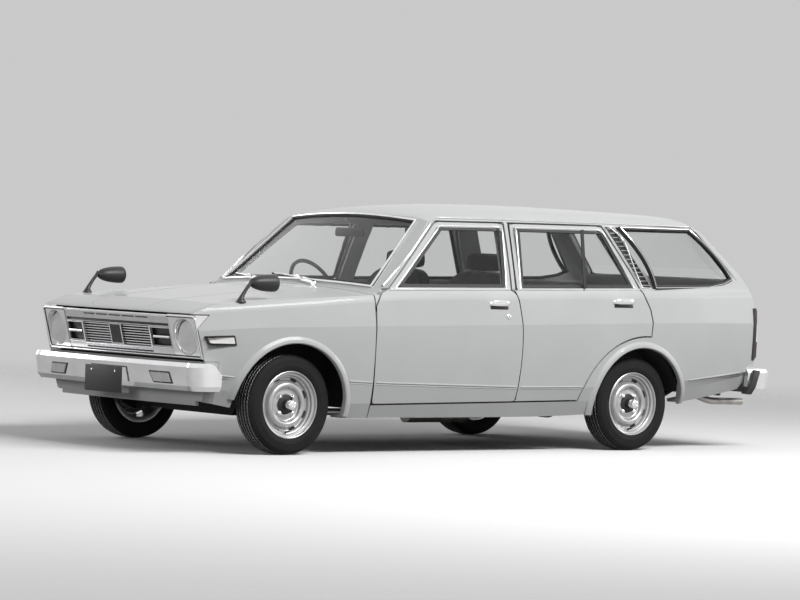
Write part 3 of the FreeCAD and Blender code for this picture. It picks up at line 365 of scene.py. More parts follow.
def piece(name, points, faces, look, body=SHELL, sharp=SMOOTH_BELOW, second=None, marks=None):
    """Finished piece; faces with a mark take the second look."""
    thing = bare_thing(name, points, faces)
    thing.data.materials.append(finish(look))
    if second:
        thing.data.materials.append(finish(second))
        for polygon, mark in zip(thing.data.polygons, marks):
            polygon.material_index = mark
    settle(thing, sharp)
    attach(thing, body)
    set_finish(thing, LOOKS[look][0])
    return thing


def mirror(thing, body=SHELL, name=None):
    """The same piece on the car's other side."""
    name = name or thing.name.replace("left", "right")
    mesh = thing.data.copy()
    mesh.name = name
    mesh.transform(Matrix.Scale(-1, 4, Vector((1, 0, 0))))
    mesh.flip_normals()
    other = bpy.data.objects.new(name, mesh)
    bpy.context.scene.collection.objects.link(other)
    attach(other, body.replace("left", "right"))
    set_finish(other, thing["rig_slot"])


def circle(steps):
    """Cosine and sine of each of a number of equal turns."""
    turns = [2 * math.pi * j / steps for j in range(steps)]
    return [(math.cos(turn), math.sin(turn)) for turn in turns]


def rings_to_faces(count, size, closed_path=False):
    """Faces between rings of one size, with both ends capped unless the path is closed."""
    faces = []
    for i in range(count if closed_path else count - 1):
        a = i * size
        b = ((i + 1) % count) * size
        for j in range(size):
            k = (j + 1) % size
            faces.append((a + j, a + k, b + k, b + j))
    if not closed_path:
        faces.append(tuple(range(size - 1, -1, -1)))
        faces.append(tuple((count - 1) * size + j for j in range(size)))
    return faces


def stack(name, rings, size, look, body=SHELL, sharp=SMOOTH_BELOW):
    """Closed piece made of rings of one size, one after another."""
    faces = rings_to_faces(len(rings) // size, size)
    return piece(name, rings, faces, look, body, sharp)


def plate_rings(hits, *levels):
    """Rings of a plate on point and normal pairs; a level is a share of its size and a height."""
    centre = sum((spot for spot, _ in hits), Vector()) / len(hits)
    return [centre + (spot - centre) * share + normal * (high * MM)
            for share, high in levels for spot, normal in hits]


def shrunk_rings(path, stations):
    """Rings across the car of an outline of (y, z); a station is x and a share of the size."""
    cy = sum(y for y, _ in path) / len(path)
    cz = sum(z for _, z in path) / len(path)
    return [at(x, cy + (y - cy) * share, cz + (z - cz) * share)
            for x, share in stations for y, z in path]


def sweep(points, normals, profile, closed=False):
    """Rings of a profile carried along a path; profile pairs are across and outward, in mm."""
    rings = []
    count = len(points)
    for i, (point, normal) in enumerate(zip(points, normals)):
        before = points[i - 1] if (i or closed) else None
        after = points[(i + 1) % count] if (i < count - 1 or closed) else None
        sides = []
        for a, b in ((before, point), (point, after)):
            if a is not None and b is not None and (b - a).length > 1e-9:
                sides.append(normal.cross((b - a).normalized()).normalized())
        middle = sum(sides, Vector()).normalized()
        stretch = 1 / max(0.4, middle.dot(sides[0]))
        rings += [point + middle * (a * MM * stretch) + normal * (o * MM) for a, o in profile]
    return rings, rings_to_faces(count, len(profile), closed)


def lathe(profile, centre, side, steps):
    """Revolve radius and outward offset pairs, in mm, about the wheel axis through a centre."""
    points = [centre + Vector((side * x * MM, r * MM * c, r * MM * s))
              for c, s in circle(steps) for r, x in profile]
    return points, rings_to_faces(steps, len(profile), True)


def half_round(wide, high, root=1.0):
    w = wide / 2
    return [(-w, -root), (-w, high * 0.35), (-w * 0.6, high * 0.85), (0, high),
            (w * 0.6, high * 0.85), (w, high * 0.35), (w, -root)]


def flat_strip(wide, high, root=1.0):
    w = wide / 2
    return [(-w, -root), (-w, high * 0.6), (-w + 0.6, high), (w - 0.6, high), (w, high * 0.6),
            (w, -root)]


def tube(points, radii, sides=10):
    """Round bar along points with parallel-carried rings and a radius at each point."""
    rings = []
    normal = None
    for i, point in enumerate(points):
        tangent = (points[min(len(points) - 1, i + 1)] - points[max(0, i - 1)]).normalized()
        if normal is None:
            normal = tangent.orthogonal().normalized()
        normal = (normal - tangent * normal.dot(tangent)).normalized()
        other = tangent.cross(normal)
        rings += [point + (normal * c + other * s) * (radii[i] * MM) for c, s in circle(sides)]
    return rings, rings_to_faces(len(points), sides)


def rounded(path, radius, closed=True):
    """Outline with its corners rounded, as plain points."""
    out = []
    count = len(path)
    for i, (u, v) in enumerate(path):
        if not closed and i in (0, count - 1):
            out.append((u, v))
            continue
        corner = Vector((u, v))
        inward = Vector(path[i - 1]) - corner
        onward = Vector(path[(i + 1) % count]) - corner
        reach = min(radius, inward.length * 0.45, onward.length * 0.45)
        a = corner + inward.normalized() * reach
        b = corner + onward.normalized() * reach
        for t in (0.0, 0.25, 0.5, 0.75, 1.0):
            spot = a * (1 - t) ** 2 + corner * (2 * t * (1 - t)) + b * t * t
            out.append((spot.x, spot.y))
    return out


def dense(path, step, closed=True):
    """Outline with points added so that none are much further apart than a step."""
    out = []
    count = len(path)
    for i in range(count if closed else count - 1):
        a = Vector(path[i])
        b = Vector(path[(i + 1) % count])
        parts = max(1, round((b - a).length / step))
        for j in range(parts):
            spot = a.lerp(b, j / parts)
            out.append((spot.x, spot.y))
    if not closed:
        out.append(path[-1])
    return out


def inset(path, amount):
    """Outline moved inwards by an amount, corner by corner."""
    count = len(path)
    area = sum(path[i][0] * path[(i + 1) % count][1] - path[(i + 1) % count][0] * path[i][1]
               for i in range(count))
    turn = 1 if area > 0 else -1
    out = []
    for i in range(count):
        before, here, after = Vector(path[i - 1]), Vector(path[i]), Vector(path[(i + 1) % count])
        a, b = (here - before).normalized(), (after - here).normalized()
        first, second = Vector((-a.y, a.x)) * turn, Vector((-b.y, b.x)) * turn
        middle = (first + second).normalized()
        spot = here + middle * (amount / max(0.3, middle.dot(first)))
        out.append((spot.x, spot.y))
    return out


# Lines on the body, found by rays onto the CAD nodes

WHOLE = 1e6     # A step that adds no points
GAP_DEPTH = 0.014
STEEPEST = 0.2


def tree_of(*names):
    points, polygons = [], []
    for name in names:
        mesh = nodes[name].data
        start = len(points)
        points += [vertex.co.copy() for vertex in mesh.vertices]
        polygons += [tuple(start + index for index in polygon.vertices)
                     for polygon in mesh.polygons]
    return BVHTree.FromPolygons(points, polygons)


side_tree = tree_of("front_fenders", "side_frame_left", "door_front_left", "door_rear_left",
                    "glass_front_left", "glass_rear_left", "quarter_glass", "louvre_panels",
                    "roof", "tail_lamps")
top_tree = tree_of("hood", "cowl", "roof", "windshield", "front_fenders")
nose_tree = tree_of("lamp_bezels", "grille")
bumper_tree = tree_of("bumper_front")
shield_tree = tree_of("windshield", "cowl", "roof", "side_frame_left", "side_frame_right")
tail_tree = tree_of("tailgate", "rear_panel", "tailgate_glass", "bumper_rear", "tail_lamps",
                    "side_frame_left")


def mend(hits):
    """Fill the places where a ray fell into a gap from their neighbours."""
    count = len(hits)
    good = [place.x > max(near.x for near, _ in hits[max(0, i - 3):i + 4]) - GAP_DEPTH
            for i, (place, _) in enumerate(hits)]
    keep = [i for i in range(count) if good[i]]
    out = []
    for i in range(count):
        if good[i]:
            out.append(hits[i])
            continue
        low = max([k for k in keep if k < i], default=keep[0])
        high = min([k for k in keep if k > i], default=keep[-1])
        share = 0.5 if high == low else (i - low) / (high - low)
        out.append(tuple(a.lerp(b, share) for a, b in zip(hits[low], hits[high])))
    return out


def near_ones(values, i, reach, closed):
    """The values round one place on a line, that wraps round if it is closed."""
    count = len(values)
    spots = range(i - reach, i + reach + 1)
    return [values[k % count] if closed else values[min(count - 1, max(0, k))] for k in spots]


def side_line(path, step=30.0, closed=False, corner=0.0):
    """Points and normals on the left body side under an outline of (y, z) pairs in mm."""
    if corner:
        path = rounded(path, corner, closed)
    path = dense(path, step, closed)
    hits = []
    for y, z in path:
        place, normal, _, _ = side_tree.ray_cast(at(1500, y, z), Vector((-1, 0, 0)))
        if place is None:
            place, normal = at(0, y, z), Vector((1, 0, 0))
        hits.append((place, normal))
    hits = mend(hits)
    across = [spot.x for spot, _ in hits]
    for _ in range(2):
        across = [sum(near_ones(across, i, 1, closed)) / 3 for i in range(len(across))]
    places = [Vector((x, behind(y), z * MM)) for x, (y, z) in zip(across, path)]
    normals = [normal.normalized() for _, normal in hits]
    soft = [sum(near_ones(normals, i, 2, closed), Vector()).normalized()
            for i in range(len(normals))]
    return places, soft


def top_at(x, y):
    """Point on top of the body."""
    place, _, _, _ = top_tree.ray_cast(at(x, y, 2000), -UP)
    return place


def top_line(path, step=30.0):
    """Points and normals on hood, cowl, glass and roof under an outline of (x, y) pairs in mm."""
    spots, normals = [], []
    for x, y in dense(path, step, False):
        place, normal, _, _ = top_tree.ray_cast(at(x, y, 2000), -UP)
        if place is not None and normal.z > STEEPEST:
            spots.append(place)
            normals.append(normal.normalized())
    return spots, normals


def even_glass(points):
    """The points with their depth taken from one smooth curve in height, and its normals."""
    rows = np.array([[1, p.y, p.z, p.z * p.z] for p in points])
    across = np.array([p.x for p in points])
    keep = np.ones(len(points), bool)
    for _ in range(4):
        fit, *_ = np.linalg.lstsq(rows[keep], across[keep], rcond=None)
        off = across - rows @ fit
        keep = off > -max(0.003, float(np.median(np.abs(off))) * 1.5)
    even = rows @ fit
    normals = [Vector((1, -fit[1], -fit[2] - 2 * fit[3] * p.z)).normalized() for p in points]
    return [Vector((float(x), p.y, p.z)) for x, p in zip(even, points)], normals


def side_trim(name, path, profile, look, body=SHELL, closed=False, corner=0.0, lift=0.0,
              step=30.0, plane=False):
    """Strip along the left body side and its twin on the right."""
    points, normals = side_line(path, step, closed, corner)
    if plane:
        points, normals = even_glass(points)
    points = [point + normal * (lift * MM) for point, normal in zip(points, normals)]
    mirror(piece(name + "_left", *sweep(points, normals, profile, closed), look, body), body)


def top_trim(name, path, profile, look, body=SHELL, lift=0.0, step=30.0):
    """Strip along the top of the body."""
    points, normals = top_line(path, step)
    points = [point + normal * (lift * MM) for point, normal in zip(points, normals)]
    piece(name, *sweep(points, normals, profile), look, body)


def button(name, y, z, radius, high, look, body):
    """Round domed boss on each side of the body."""
    spots, normals = side_line([(y - 1, z), (y + 1, z)], 2)
    spot, normal = (spots[0] + spots[-1]) / 2, normals[0]
    a = normal.cross(UP).normalized()
    b = normal.cross(a)
    dome = ((radius, -1), (radius, high * 0.6), (radius * 0.85, high * 0.9), (radius * 0.4, high))
    rings = [spot + (a * c + b * s) * (r * MM) + normal * (h * MM)
             for r, h in dome for c, s in circle(28)]
    mirror(stack(name + "_left", rings, 28, look, body), body)


def panel(name, outline, high, look, body=SHELL, corner=4.0, lift=0.0):
    """Plate with rounded edges that lies on each side of the body."""
    spots, normals = side_line(rounded(outline, corner), WHOLE, True)
    normal = sum(normals, Vector()).normalized()
    rings = plate_rings([(spot, normal) for spot in spots], (1.0, -2.0 + lift),
                        (1.0, high * 0.6 + lift), (0.985, high + lift))
    mirror(stack(name + "_left", rings, len(spots), look, body), body)


# Wheels: tyres with a grooved tread, slotted rims, hubs, caps and nuts; radius and offset in mm

GROOVES = [-44, -22, 0, 22, 44]
GROOVE_HALF = 3.2
GROOVE_SLOPE = 0.8
GROOVE_DEEP = 3.5
ZIGZAG = 3.4
TREAD_STEPS = 176
TREAD_RADIUS = 255
TREAD_CROWN = 0.0011
SIDEWALL = [(171, 61), (173, 65), (178, 68.5), (186, 70.5), (194, 71.6), (196, 72.6), (199, 72.6),
            (201, 71.9), (212, 72.2), (222, 70.8), (226, 69.9), (228, 70.3), (231, 69.5),
            (233, 67.9), (241, 64.4), (247.5, 59.6), (251, 56.2)]
RIM_OUTER = [(171.2, 58), (172.4, 62), (171.5, 66.5), (168.5, 68.5), (165, 67), (162.5, 60),
             (161, 54), (158, 52.5), (153, 52.5), (150.5, 50.5), (149, 44), (147.5, 38),
             (145, 36.5), (141, 36), (139, 33), (137.5, 25), (136, 19.5), (132, 17.5),
             (126, 17.5), (122.5, 20), (119.5, 28), (116, 36), (111, 42.5), (105, 46),
             (99, 46.4), (93, 44.5), (88.5, 40), (85.5, 33), (83, 26.5), (79.5, 24), (74, 23.8),
             (60, 26.5), (53.5, 27.6), (51.5, 26.8), (51.2, 23)]
RIM_INNER = [(51.2, 20), (60, 22), (74, 19.6), (82, 20), (87, 29), (93, 39), (100, 41.6),
             (107, 39.4), (113, 32), (117.5, 21), (122, 13.5), (130, 12.5), (136, 12.5),
             (140, 10), (141, -20), (141, -58), (146, -61), (170, -62), (171.2, -58),
             (171.2, -52), (150, -47), (145, -40), (145, 10), (147, 28), (153, 42), (162, 48),
             (169, 52)]
HUB = [(51, 16), (51, 27.5), (48, 30), (36, 33), (27, 35), (26, 44), (24, 60), (22, 62),
       (0.01, 62), (0.01, 20)]
HUB_CAP = [(24, 58), (24, 84), (23.4, 88), (22, 91), (19, 93.5), (13, 95), (9, 95.4), (8, 94.6),
           (0.01, 94.6), (0.01, 60)]
VALVE = [(36, 141), (50, 136), (66, 134)]
SLOTS = 8
SLOT_RADIUS = 132.5
SLOT_HALF = (21, 6.0)
SLOT_CUT = (2, 40)
NUT_CIRCLE = 57.15
NUT_RADIUS, NUT_BASE, NUT_HIGH = 12.5, 24, 21


def tyre_mesh():
    """Points, faces and marks of one tyre about the origin, outer side towards +X."""
    across = [(groove + offset, deep) for groove in GROOVES for offset, deep in (
        (-GROOVE_HALF, 0), (-GROOVE_HALF + GROOVE_SLOPE, GROOVE_DEEP),
        (GROOVE_HALF - GROOVE_SLOPE, GROOVE_DEEP), (GROOVE_HALF, 0))]
    points = []
    for i, (c, s) in enumerate(circle(TREAD_STEPS)):
        shift = ZIGZAG if i % 2 else -ZIGZAG
        ring = [(r, -x) for r, x in SIDEWALL]
        ring += [(TREAD_RADIUS - TREAD_CROWN * (x + shift) * (x + shift) - deep, x + shift)
                 for x, deep in across]
        ring += [(r, x) for r, x in SIDEWALL[::-1]]
        points += [Vector((x * MM, r * MM * c, r * MM * s)) for r, x in ring]
    walls = [0] * len(SIDEWALL)
    # Groove faces take the pale painted highlight
    grooves = [1 if j % 4 != 3 else 0 for j in range(len(across))]
    faces = rings_to_faces(TREAD_STEPS, len(across) + 2 * len(SIDEWALL), True)
    return points, faces, (walls + grooves + walls) * TREAD_STEPS


def slot_cutter():
    """Rounded slots through the disc of the rim."""
    points, faces = [], []
    for index in range(SLOTS):
        turn = 2 * math.pi * (index + 0.5) / SLOTS
        outline = [(SLOT_RADIUS + SLOT_HALF[1] * math.copysign(abs(s) ** 0.7, s),
                    SLOT_HALF[0] * math.copysign(abs(c) ** 0.55, c) / SLOT_RADIUS)
                   for c, s in circle(24)]
        start = len(points)
        points += [Vector((x * MM, r * MM * math.cos(turn + swing),
                           r * MM * math.sin(turn + swing)))
                   for x in SLOT_CUT for r, swing in outline]
        faces += [tuple(start + spot for spot in face) for face in rings_to_faces(2, len(outline))]
    return points, faces


def cut_by(thing, cutter):
    """Cut a mesh by another and leave a plain mesh."""
    change = thing.modifiers.new("Cut", "BOOLEAN")
    change.operation = "DIFFERENCE"
    change.solver = "EXACT"
    change.object = cutter
    bpy.context.view_layer.update()
    graph = bpy.context.evaluated_depsgraph_get()
    mesh = bpy.data.meshes.new_from_object(thing.evaluated_get(graph))
    thing.modifiers.remove(change)
    old = thing.data
    thing.data = mesh
    bpy.data.meshes.remove(old)
    bpy.data.objects.remove(cutter, do_unlink=True)


def rim_mesh():
    """Points and faces of one rim about the origin, with its slots cut."""
    rim = bare_thing("rim_master", *lathe(RIM_OUTER + RIM_INNER, Vector(), 1, 96))
    settle(rim)
    cutter = bare_thing("slot_cutter", *slot_cutter())
    settle(cutter)
    cut_by(rim, cutter)
    settle(rim, 34)
    points = [vertex.co.copy() for vertex in rim.data.vertices]
    faces = [tuple(polygon.vertices) for polygon in rim.data.polygons]
    bpy.data.objects.remove(rim, do_unlink=True)
    return points, faces


def nut_mesh():
    """Six-sided nut with a domed end, standing on the disc."""
    rings = []
    for share, rise, flat in [(1.0, 0.0, True), (1.0, 0.55, True), (0.8, 0.62, False),
                              (0.62, 0.86, False), (0.3, 1.0, False)]:
        for j in range(24):
            turn = 2 * math.pi * j / 24
            reach = NUT_RADIUS * share
            if flat:
                sector = (turn % (math.pi / 3)) - math.pi / 6
                reach = reach * math.cos(math.pi / 6) / math.cos(sector)
            rings.append(Vector(((NUT_BASE + NUT_HIGH * rise) * MM, reach * MM * math.cos(turn),
                                 reach * MM * math.sin(turn))))
    return rings, rings_to_faces(5, 24)


def placed(points, side, centre):
    """A wheel's points at its own centre, turned outwards."""
    return [centre + Vector((side * point.x, point.y, point.z)) for point in points]


def wheels():
    tyre_points, tyre_faces, marks = tyre_mesh()
    rim_points, rim_faces = rim_mesh()
    nut, nut_faces = nut_mesh()
    for place, y in (("front", 0), ("rear", WHEELBASE)):
        for label, side in SIDES:
            end = "%s_%s" % (place, label)
            body = "wheel_" + end
            centre = Vector((side * WHEEL_PLANE * MM, behind(y), AXLE_HEIGHT))
            # Groove faces take the pale painted highlight
            tyre = piece("tyre_detail_" + end, placed(tyre_points, side, centre), tyre_faces,
                         "tyre", body, 30, "groove", marks)
            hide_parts("tyre_" + end)
            disc = piece("rim_detail_" + end, placed(rim_points, side, centre), rim_faces,
                         "wheel", body, 34)
            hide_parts("rim_" + end)
            piece("hub_" + end, *lathe(HUB, centre, side, 48), "hub", body)
            piece("hub_cap_" + end, *lathe(HUB_CAP, centre, side, 48), "chrome", body)
            for index in range(4):
                turn = math.pi / 4 + index * math.pi / 2
                spot = centre + Vector((0, NUT_CIRCLE * MM * math.cos(turn),
                                        NUT_CIRCLE * MM * math.sin(turn)))
                piece("wheel_nut_%s_%d" % (end, index + 1), placed(nut, side, spot), nut_faces,
                      "chrome", body, 25)
            stem = [centre + Vector((side * x * MM, 0, -r * MM)) for x, r in VALVE]
            piece("valve_" + end, *tube(stem, [5, 4.5, 3.6], 12), "rubber", body)


# Trim along the body side: outlines and lines of (y, z)

FRONT_APERTURE = [(660, 862), (1010, 1172), (1022, 1179), (1040, 1181), (1428, 1186), (1390, 872)]
REAR_APERTURE = [(1502, 872), (1538, 1187), (2140, 1190), (2304, 886)]
REAR_DIVIDER = [(1906, 1190), (1945, 868)]
QUARTER_OUTER = [(2261, 1216), (2836, 1218), (3083, 944), (3012, 916), (2890, 896), (2458, 886)]
LOUVRE = [(2194, 1214), (2244, 1214), (2440, 890), (2374, 890)]
LOUVRE_SLATS = 14
FRONT_DOOR = [(500, 262), (494, 412), (496, 612), (500, 763), (549, 838), (600, 850), (985, 1192),
              (1008, 1203), (1046, 1207), (1464, 1211), (1424, 862), (1440, 850), (1457, 805),
              (1472, 690), (1474, 600), (1471, 420), (1457, 274)]
# The rear door's strip of painted gap shade stops above the wheel arch
REAR_DOOR = [(1463, 274), (1477, 420), (1482, 600), (1478, 690), (1464, 805), (1447, 856),
             (1462, 864), (1505, 1211), (2165, 1214), (2346, 884), (2366, 830), (2399, 770),
             (2412, 700), (2404, 628)]
MOULDINGS = [
    ("belt_front_door", "door_front_left", [(606, 850), (1416, 865)], half_round(11, 6.5)),
    ("belt_rear_door", "door_rear_left", [(1466, 866), (2350, 880)], half_round(11, 6.5)),
    ("belt_quarter", SHELL, [(2366, 881), (2462, 883)], half_round(9, 4))]
DRIP_RAIL = [(590, 866), (760, 1018), (967, 1206), (1010, 1222), (1060, 1228), (1500, 1230),
             (2200, 1230), (2830, 1228)]
PILLAR_STRIP = [(2846, 1226), (2874, 1212), (3000, 1082), (3128, 944)]
CREASES = [
    ("fender_low", SHELL, [(338, 378), (484, 372)]),
    ("fender_nose", SHELL, [(-436, 401), (-342, 393)]),
    ("door_front_low", "door_front_left", [(508, 371), (1456, 350)]),
    ("door_rear_low", "door_rear_left", [(1486, 349), (1920, 350)]),
    ("quarter_low", SHELL, [(2716, 385), (3130, 428)])]
CREASE_LINE_DROP = 11
HANDLES = (("front", 1247, 1392, 762, 804), ("rear", 2123, 2283, 782, 828))
HANDLE_RISE, HANDLE_FOOT, HANDLE_ROUND = 24, 5, 7
HANDLE_END, HANDLE_SWELL = 10.5, 5.5
LOCK = (1381, 722)
SIDE_MARKER = [(-531, 598), (-362, 604), (-348, 552), (-505, 553)]


def window_frames():
    """Bright bar and rubber round each side window, and the rear door's divider."""
    for place, aperture in (("front", FRONT_APERTURE), ("rear", REAR_APERTURE)):
        body = "door_%s_left" % place
        bar = [(-4.5, -1), (-4.5, 2.2), (-3, 3.4), (0, 4), (3, 3.4), (4.5, 2.2), (4.5, -1)]
        side_trim("frame_bright_" + place, inset(aperture, -7), bar, "satin", body, True, 16)
        side_trim("frame_rubber_" + place, inset(aperture, 8), flat_strip(20, 5, 2), "rubber",
                  body, True, 14)
    side_trim("rear_divider", REAR_DIVIDER, flat_strip(26, 4, 2), "rubber", "door_rear_left",
              lift=1.0)
    outer = inset(QUARTER_OUTER, -2)
    seal = [(-20, -18), (-20, 0.5), (-16, 4), (-8, 5.5), (-2, 4), (0, 0.5), (0, -18)]
    side_trim("quarter_rubber", outer, seal, "rubber", SHELL, True, 10, plane=True)
    bead = [(-10.5, 3), (-10.5, 5.4), (-8.5, 6.8), (-6.5, 5.4), (-6.5, 3)]
    side_trim("quarter_bright", outer, bead, "chrome", SHELL, True, 10, plane=True)


def door_edges():
    """Dark strip set into the gap round the edge of each door: painted shade for the panel gap."""
    # The strip lies below the skin, inside the gap: painted shade
    gap_shade_profile = [(2.4, -9), (2.4, -0.7), (3.2, -0.4), (4.6, -0.7), (4.6, -9)]
    for place, outline in (("front", FRONT_DOOR), ("rear", REAR_DOOR)):
        side_trim("door_lip_" + place, inset(outline, 4), gap_shade_profile, "rubber", "door_%s_left" % place,
                  place == "front", step=14)


def mouldings():
    """Bright belt strips, the drip rail and the double line at the lower crease."""
    for name, body, path, profile in MOULDINGS:
        side_trim(name, path, profile, "chrome", body)
    gutter = [(-6, -2), (-7, 6), (-4, 9.5), (3, 9.5), (6, 6), (6, -2)]
    side_trim("drip_rail", DRIP_RAIL, gutter, "satin", corner=60)
    side_trim("pillar_strip", PILLAR_STRIP, half_round(15, 6), "paint", corner=20)
    for name, body, path in CREASES:
        side_trim("crease_" + name, path, half_round(9, 3.4), "paint", body)
        lower = [(y, z - CREASE_LINE_DROP) for y, z in path]
        side_trim("crease_line_" + name, lower, half_round(4, 1.6), "paint", body)


def door_furniture():
    """Lift handles in their recess, with the lock of the front door."""
    for place, y0, y1, z0, z1 in HANDLES:
        body = "door_%s_left" % place
        middle = (z0 + z1) / 2
        cup = [(y0 + 8, z0 - 3), (y0 + 22, z1 - 10), (y1 - 22, z1 - 10), (y1 - 8, z0 - 3)]
        panel("handle_cup_" + place, cup, 1.4, "black", body, 8)
        spots, normals = side_line([(y0 + 4, middle + 6), (y1 - 4, middle + 6)], 12)
        rings = []
        for i, (spot, normal) in enumerate(zip(spots, normals)):
            t = i / (len(spots) - 1)
            rise = HANDLE_RISE * (1 - (2 * t - 1) ** 6) + HANDLE_FOOT
            tall = HANDLE_END + HANDLE_SWELL * (1 - (2 * t - 1) ** 4)
            rings += [spot + UP * (tall * s * MM)
                      + normal * ((rise - HANDLE_ROUND + HANDLE_ROUND * c) * MM)
                      for c, s in circle(14)]
        mirror(stack("door_handle_%s_left" % place, rings, 14, "chrome", body), body)
    button("door_lock", *LOCK, 13, 5, "chrome", "door_front_left")
    button("door_lock_slot", *LOCK, 4, 6.2, "black", "door_front_left")


def side_marker():
    """Corner marker on the front fender: black frame and pale lens."""
    panel("marker_frame", SIDE_MARKER, 5, "black", corner=5)
    panel("marker_lens", inset(SIDE_MARKER, 10), 7.5, "pale", lift=2)


def louvres():
    """Slats over the vent panel behind the rear door."""
    high_a, high_b, low_b, low_a = (Vector(corner) for corner in LOUVRE)
    slat = [(-3, -4), (-3.5, 1), (-2, 3.5), (1.5, 3), (3, -1), (3, -4)]
    for index in range(LOUVRE_SLATS):
        t = (index + 0.5) / LOUVRE_SLATS
        a = low_a.lerp(high_a, t)
        b = low_b.lerp(high_b, t)
        side_trim("louvre_slat_%02d" % (index + 1), [(a.x + 6, a.y), (b.x - 6, b.y + 1)], slat,
                  "satin", lift=2)
    side_trim("louvre_frame", inset(LOUVRE, -1), half_round(7, 4.5), "chrome", SHELL, True, 4)


# Fender mirrors: height, radius and way back of the stalk; radius and y of head and glass

MIRROR_FOOT = (688, -300)
MIRROR_X, MIRROR_Z = 682, 868
MIRROR_OVAL = (1.25, 1.22)
STALK = [(0, 26, 0), (6, 25, 0), (14, 18, 1), (26, 12.5, 4), (40, 10.5, 12), (66, 9, 30),
         (92, 9, 52), (112, 10, 66)]
HEAD = [(2, -242), (12, -238), (20, -226), (27, -204), (32.5, -172), (35.5, -136), (36.5, -104),
        (36, -92), (34.5, -88)]
MIRROR_GLASS = [(33.5, -92), (33.5, -87.5), (0.01, -86.5)]


def mirrors():
    """Bullet mirrors on the front fenders, in place of their plain solids."""
    foot = top_at(*MIRROR_FOOT)
    spots = [foot + Vector((0, y * MM, z * MM)) for z, _, y in STALK]
    stalk = piece("mirror_stalk_left", *tube(spots, [r for _, r, _ in STALK], 20), "black")
    wide, tall = MIRROR_OVAL
    head, glass = [
        stack("mirror_%s_left" % part,
              [at(MIRROR_X + r * wide * c, y, MIRROR_Z + r * tall * s)
               for r, y in run for c, s in circle(40)], 40, look)
        for part, run, look in (("head", HEAD, "black"), ("glass", MIRROR_GLASS, "chrome"))]
    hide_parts("fender_mirrors")
    for thing in (stalk, head, glass):
        mirror(thing)


# Nose: lamps, grille trim, bumper lamps and plate; lamp profiles are radius and y

LAMP_X, LAMP_Z = 578, 588
LAMP_SWEEP = 0.07
LENS = [(2, -552.5), (25, -552), (50, -549.5), (70, -545.6), (82, -541.5), (88, -537.5),
        (88.5, -531), (86, -530), (82, -536), (70, -540.6), (50, -544.4), (25, -546.8),
        (2, -547.4)]
BOWL = [(89.5, -533), (89.5, -529), (84, -516), (70, -501), (50, -490), (30, -485), (20, -484),
        (2, -484), (2, -488), (20, -488), (30, -489), (50, -494), (70, -505), (82, -519),
        (86, -529), (87, -533)]
BULB = [(9, -488), (9, -505), (11, -512), (9, -520), (4, -524), (0.01, -525)]
LAMP_GAP = [(95, -531), (95.5, -540), (97, -542), (102, -541), (104, -537), (103.5, -531)]
LAMP_RING = [(86, -531), (86, -543), (87.5, -548), (91, -550), (94.5, -547), (95.5, -540),
             (95, -531)]
NOSE_SLACK = 0.02
NOSE_OUTLINE = [(-682, 487), (682, 487), (682, 691), (-682, 691)]
GRILLE_INNER, GRILLE_OUTER = 302, 452


def on_nose(x, z, out=0.0):
    return at(x, nose_y(x, z) - out, z)


def nose_normal(turn):
    return Vector((turn, -1, -NOSE_LEAN)).normalized()


def nose_strip(name, x0, x1, z, profile, look, lift=0.0):
    """Level strip across the nose; the profile is up and outward."""
    count = max(2, round(abs(x1 - x0) / 40))
    spots = [on_nose(x0 + (x1 - x0) * i / count, z, lift) for i in range(count + 1)]
    normals = [nose_normal(spot.x * NOSE_TURN) for spot in spots]
    piece(name, *sweep(spots, normals, profile), look)


def nose_post(name, x, heights, turn, lift, profile):
    """Bright upright strip on the nose."""
    spots = [on_nose(x, z, lift) for z in heights]
    piece(name, *sweep(spots, [nose_normal(turn)] * len(spots), profile), "chrome")


def nose_frame():
    """Bright rim round lamps and grille with a dark line outside it, which is painted shade for the
    gap to the body.
    """
    spots, normals = [], []
    for x, z in dense(rounded(NOSE_OUTLINE, 22), 24):
        place, normal, _, _ = nose_tree.ray_cast(at(x, -900, z), BACKWARD)
        if place is None or abs(place.y - behind(nose_y(x, z))) > NOSE_SLACK:
            place = on_nose(x, z)
        spots.append(place)
        normals.append(nose_normal(x * MM * NOSE_TURN))
    rim = [(-5, -4), (-5, 3), (-2.5, 6), (1.5, 6), (3.5, 3), (3.5, -4)]
    line = [(3.2, -4), (3.2, 2.4), (4, 3), (7.2, 3), (8, 2), (8, -4)]
    piece("nose_rim", *sweep(spots, normals, rim, True), "chrome")
    # Black line round the rim: painted shade in the gap to the fender and hood
    piece("nose_dark_line", *sweep(spots, normals, line, True), "black")


def grille_trim():
    """Frame, bars, vents and the bright C on each side of the grille; its middle stays blank. The
    vents are black strips of painted shade.
    """
    nose_frame()
    nose_strip("grille_top_bar", -464, 464, 686, half_round(9, 5), "chrome", -3)
    nose_strip("grille_lower_bar", -300, 300, 524, half_round(9, 6), "chrome", -4)
    nose_strip("grille_foot_bar", -464, 464, 484, half_round(10, 5), "chrome", -3)
    # Black strips in the vents: painted shade for their recesses
    for index in range(5):
        start = -276 + index * 118
        nose_strip("grille_vent_%d" % (index + 1), start, start + 102, 674.5,
                   flat_strip(6.5, 0.9), "grille_gap", -3)
    nose_strip("grille_post_blank", -44, 44, 580, flat_strip(96, 3), "grille_gap", -3)
    for label, side in SIDES:
        nose_post("grille_edge_" + label, side * 49, (530, 580, 630), 0, -2, half_round(5, 4))
    nose_strip("grille_slot_shadow", -285, 285, 504.5, flat_strip(5, 0.5), "grille_gap", -3)
    for label, side in SIDES[::-1]:
        inner, outer = side * GRILLE_INNER, side * GRILLE_OUTER
        nose_post("grille_post_" + label, inner, (524, 577, 630), side * 0.04, 1, half_round(7, 4))
        for level, z in (("top", 627), ("low", 528)):
            nose_strip("grille_c_%s_%s" % (level, label), inner, outer, z, half_round(6, 4),
                       "chrome", 1)
        nose_strip("grille_dash_" + label, side * 322, outer, 580, half_round(12, 5), "chrome", -3)


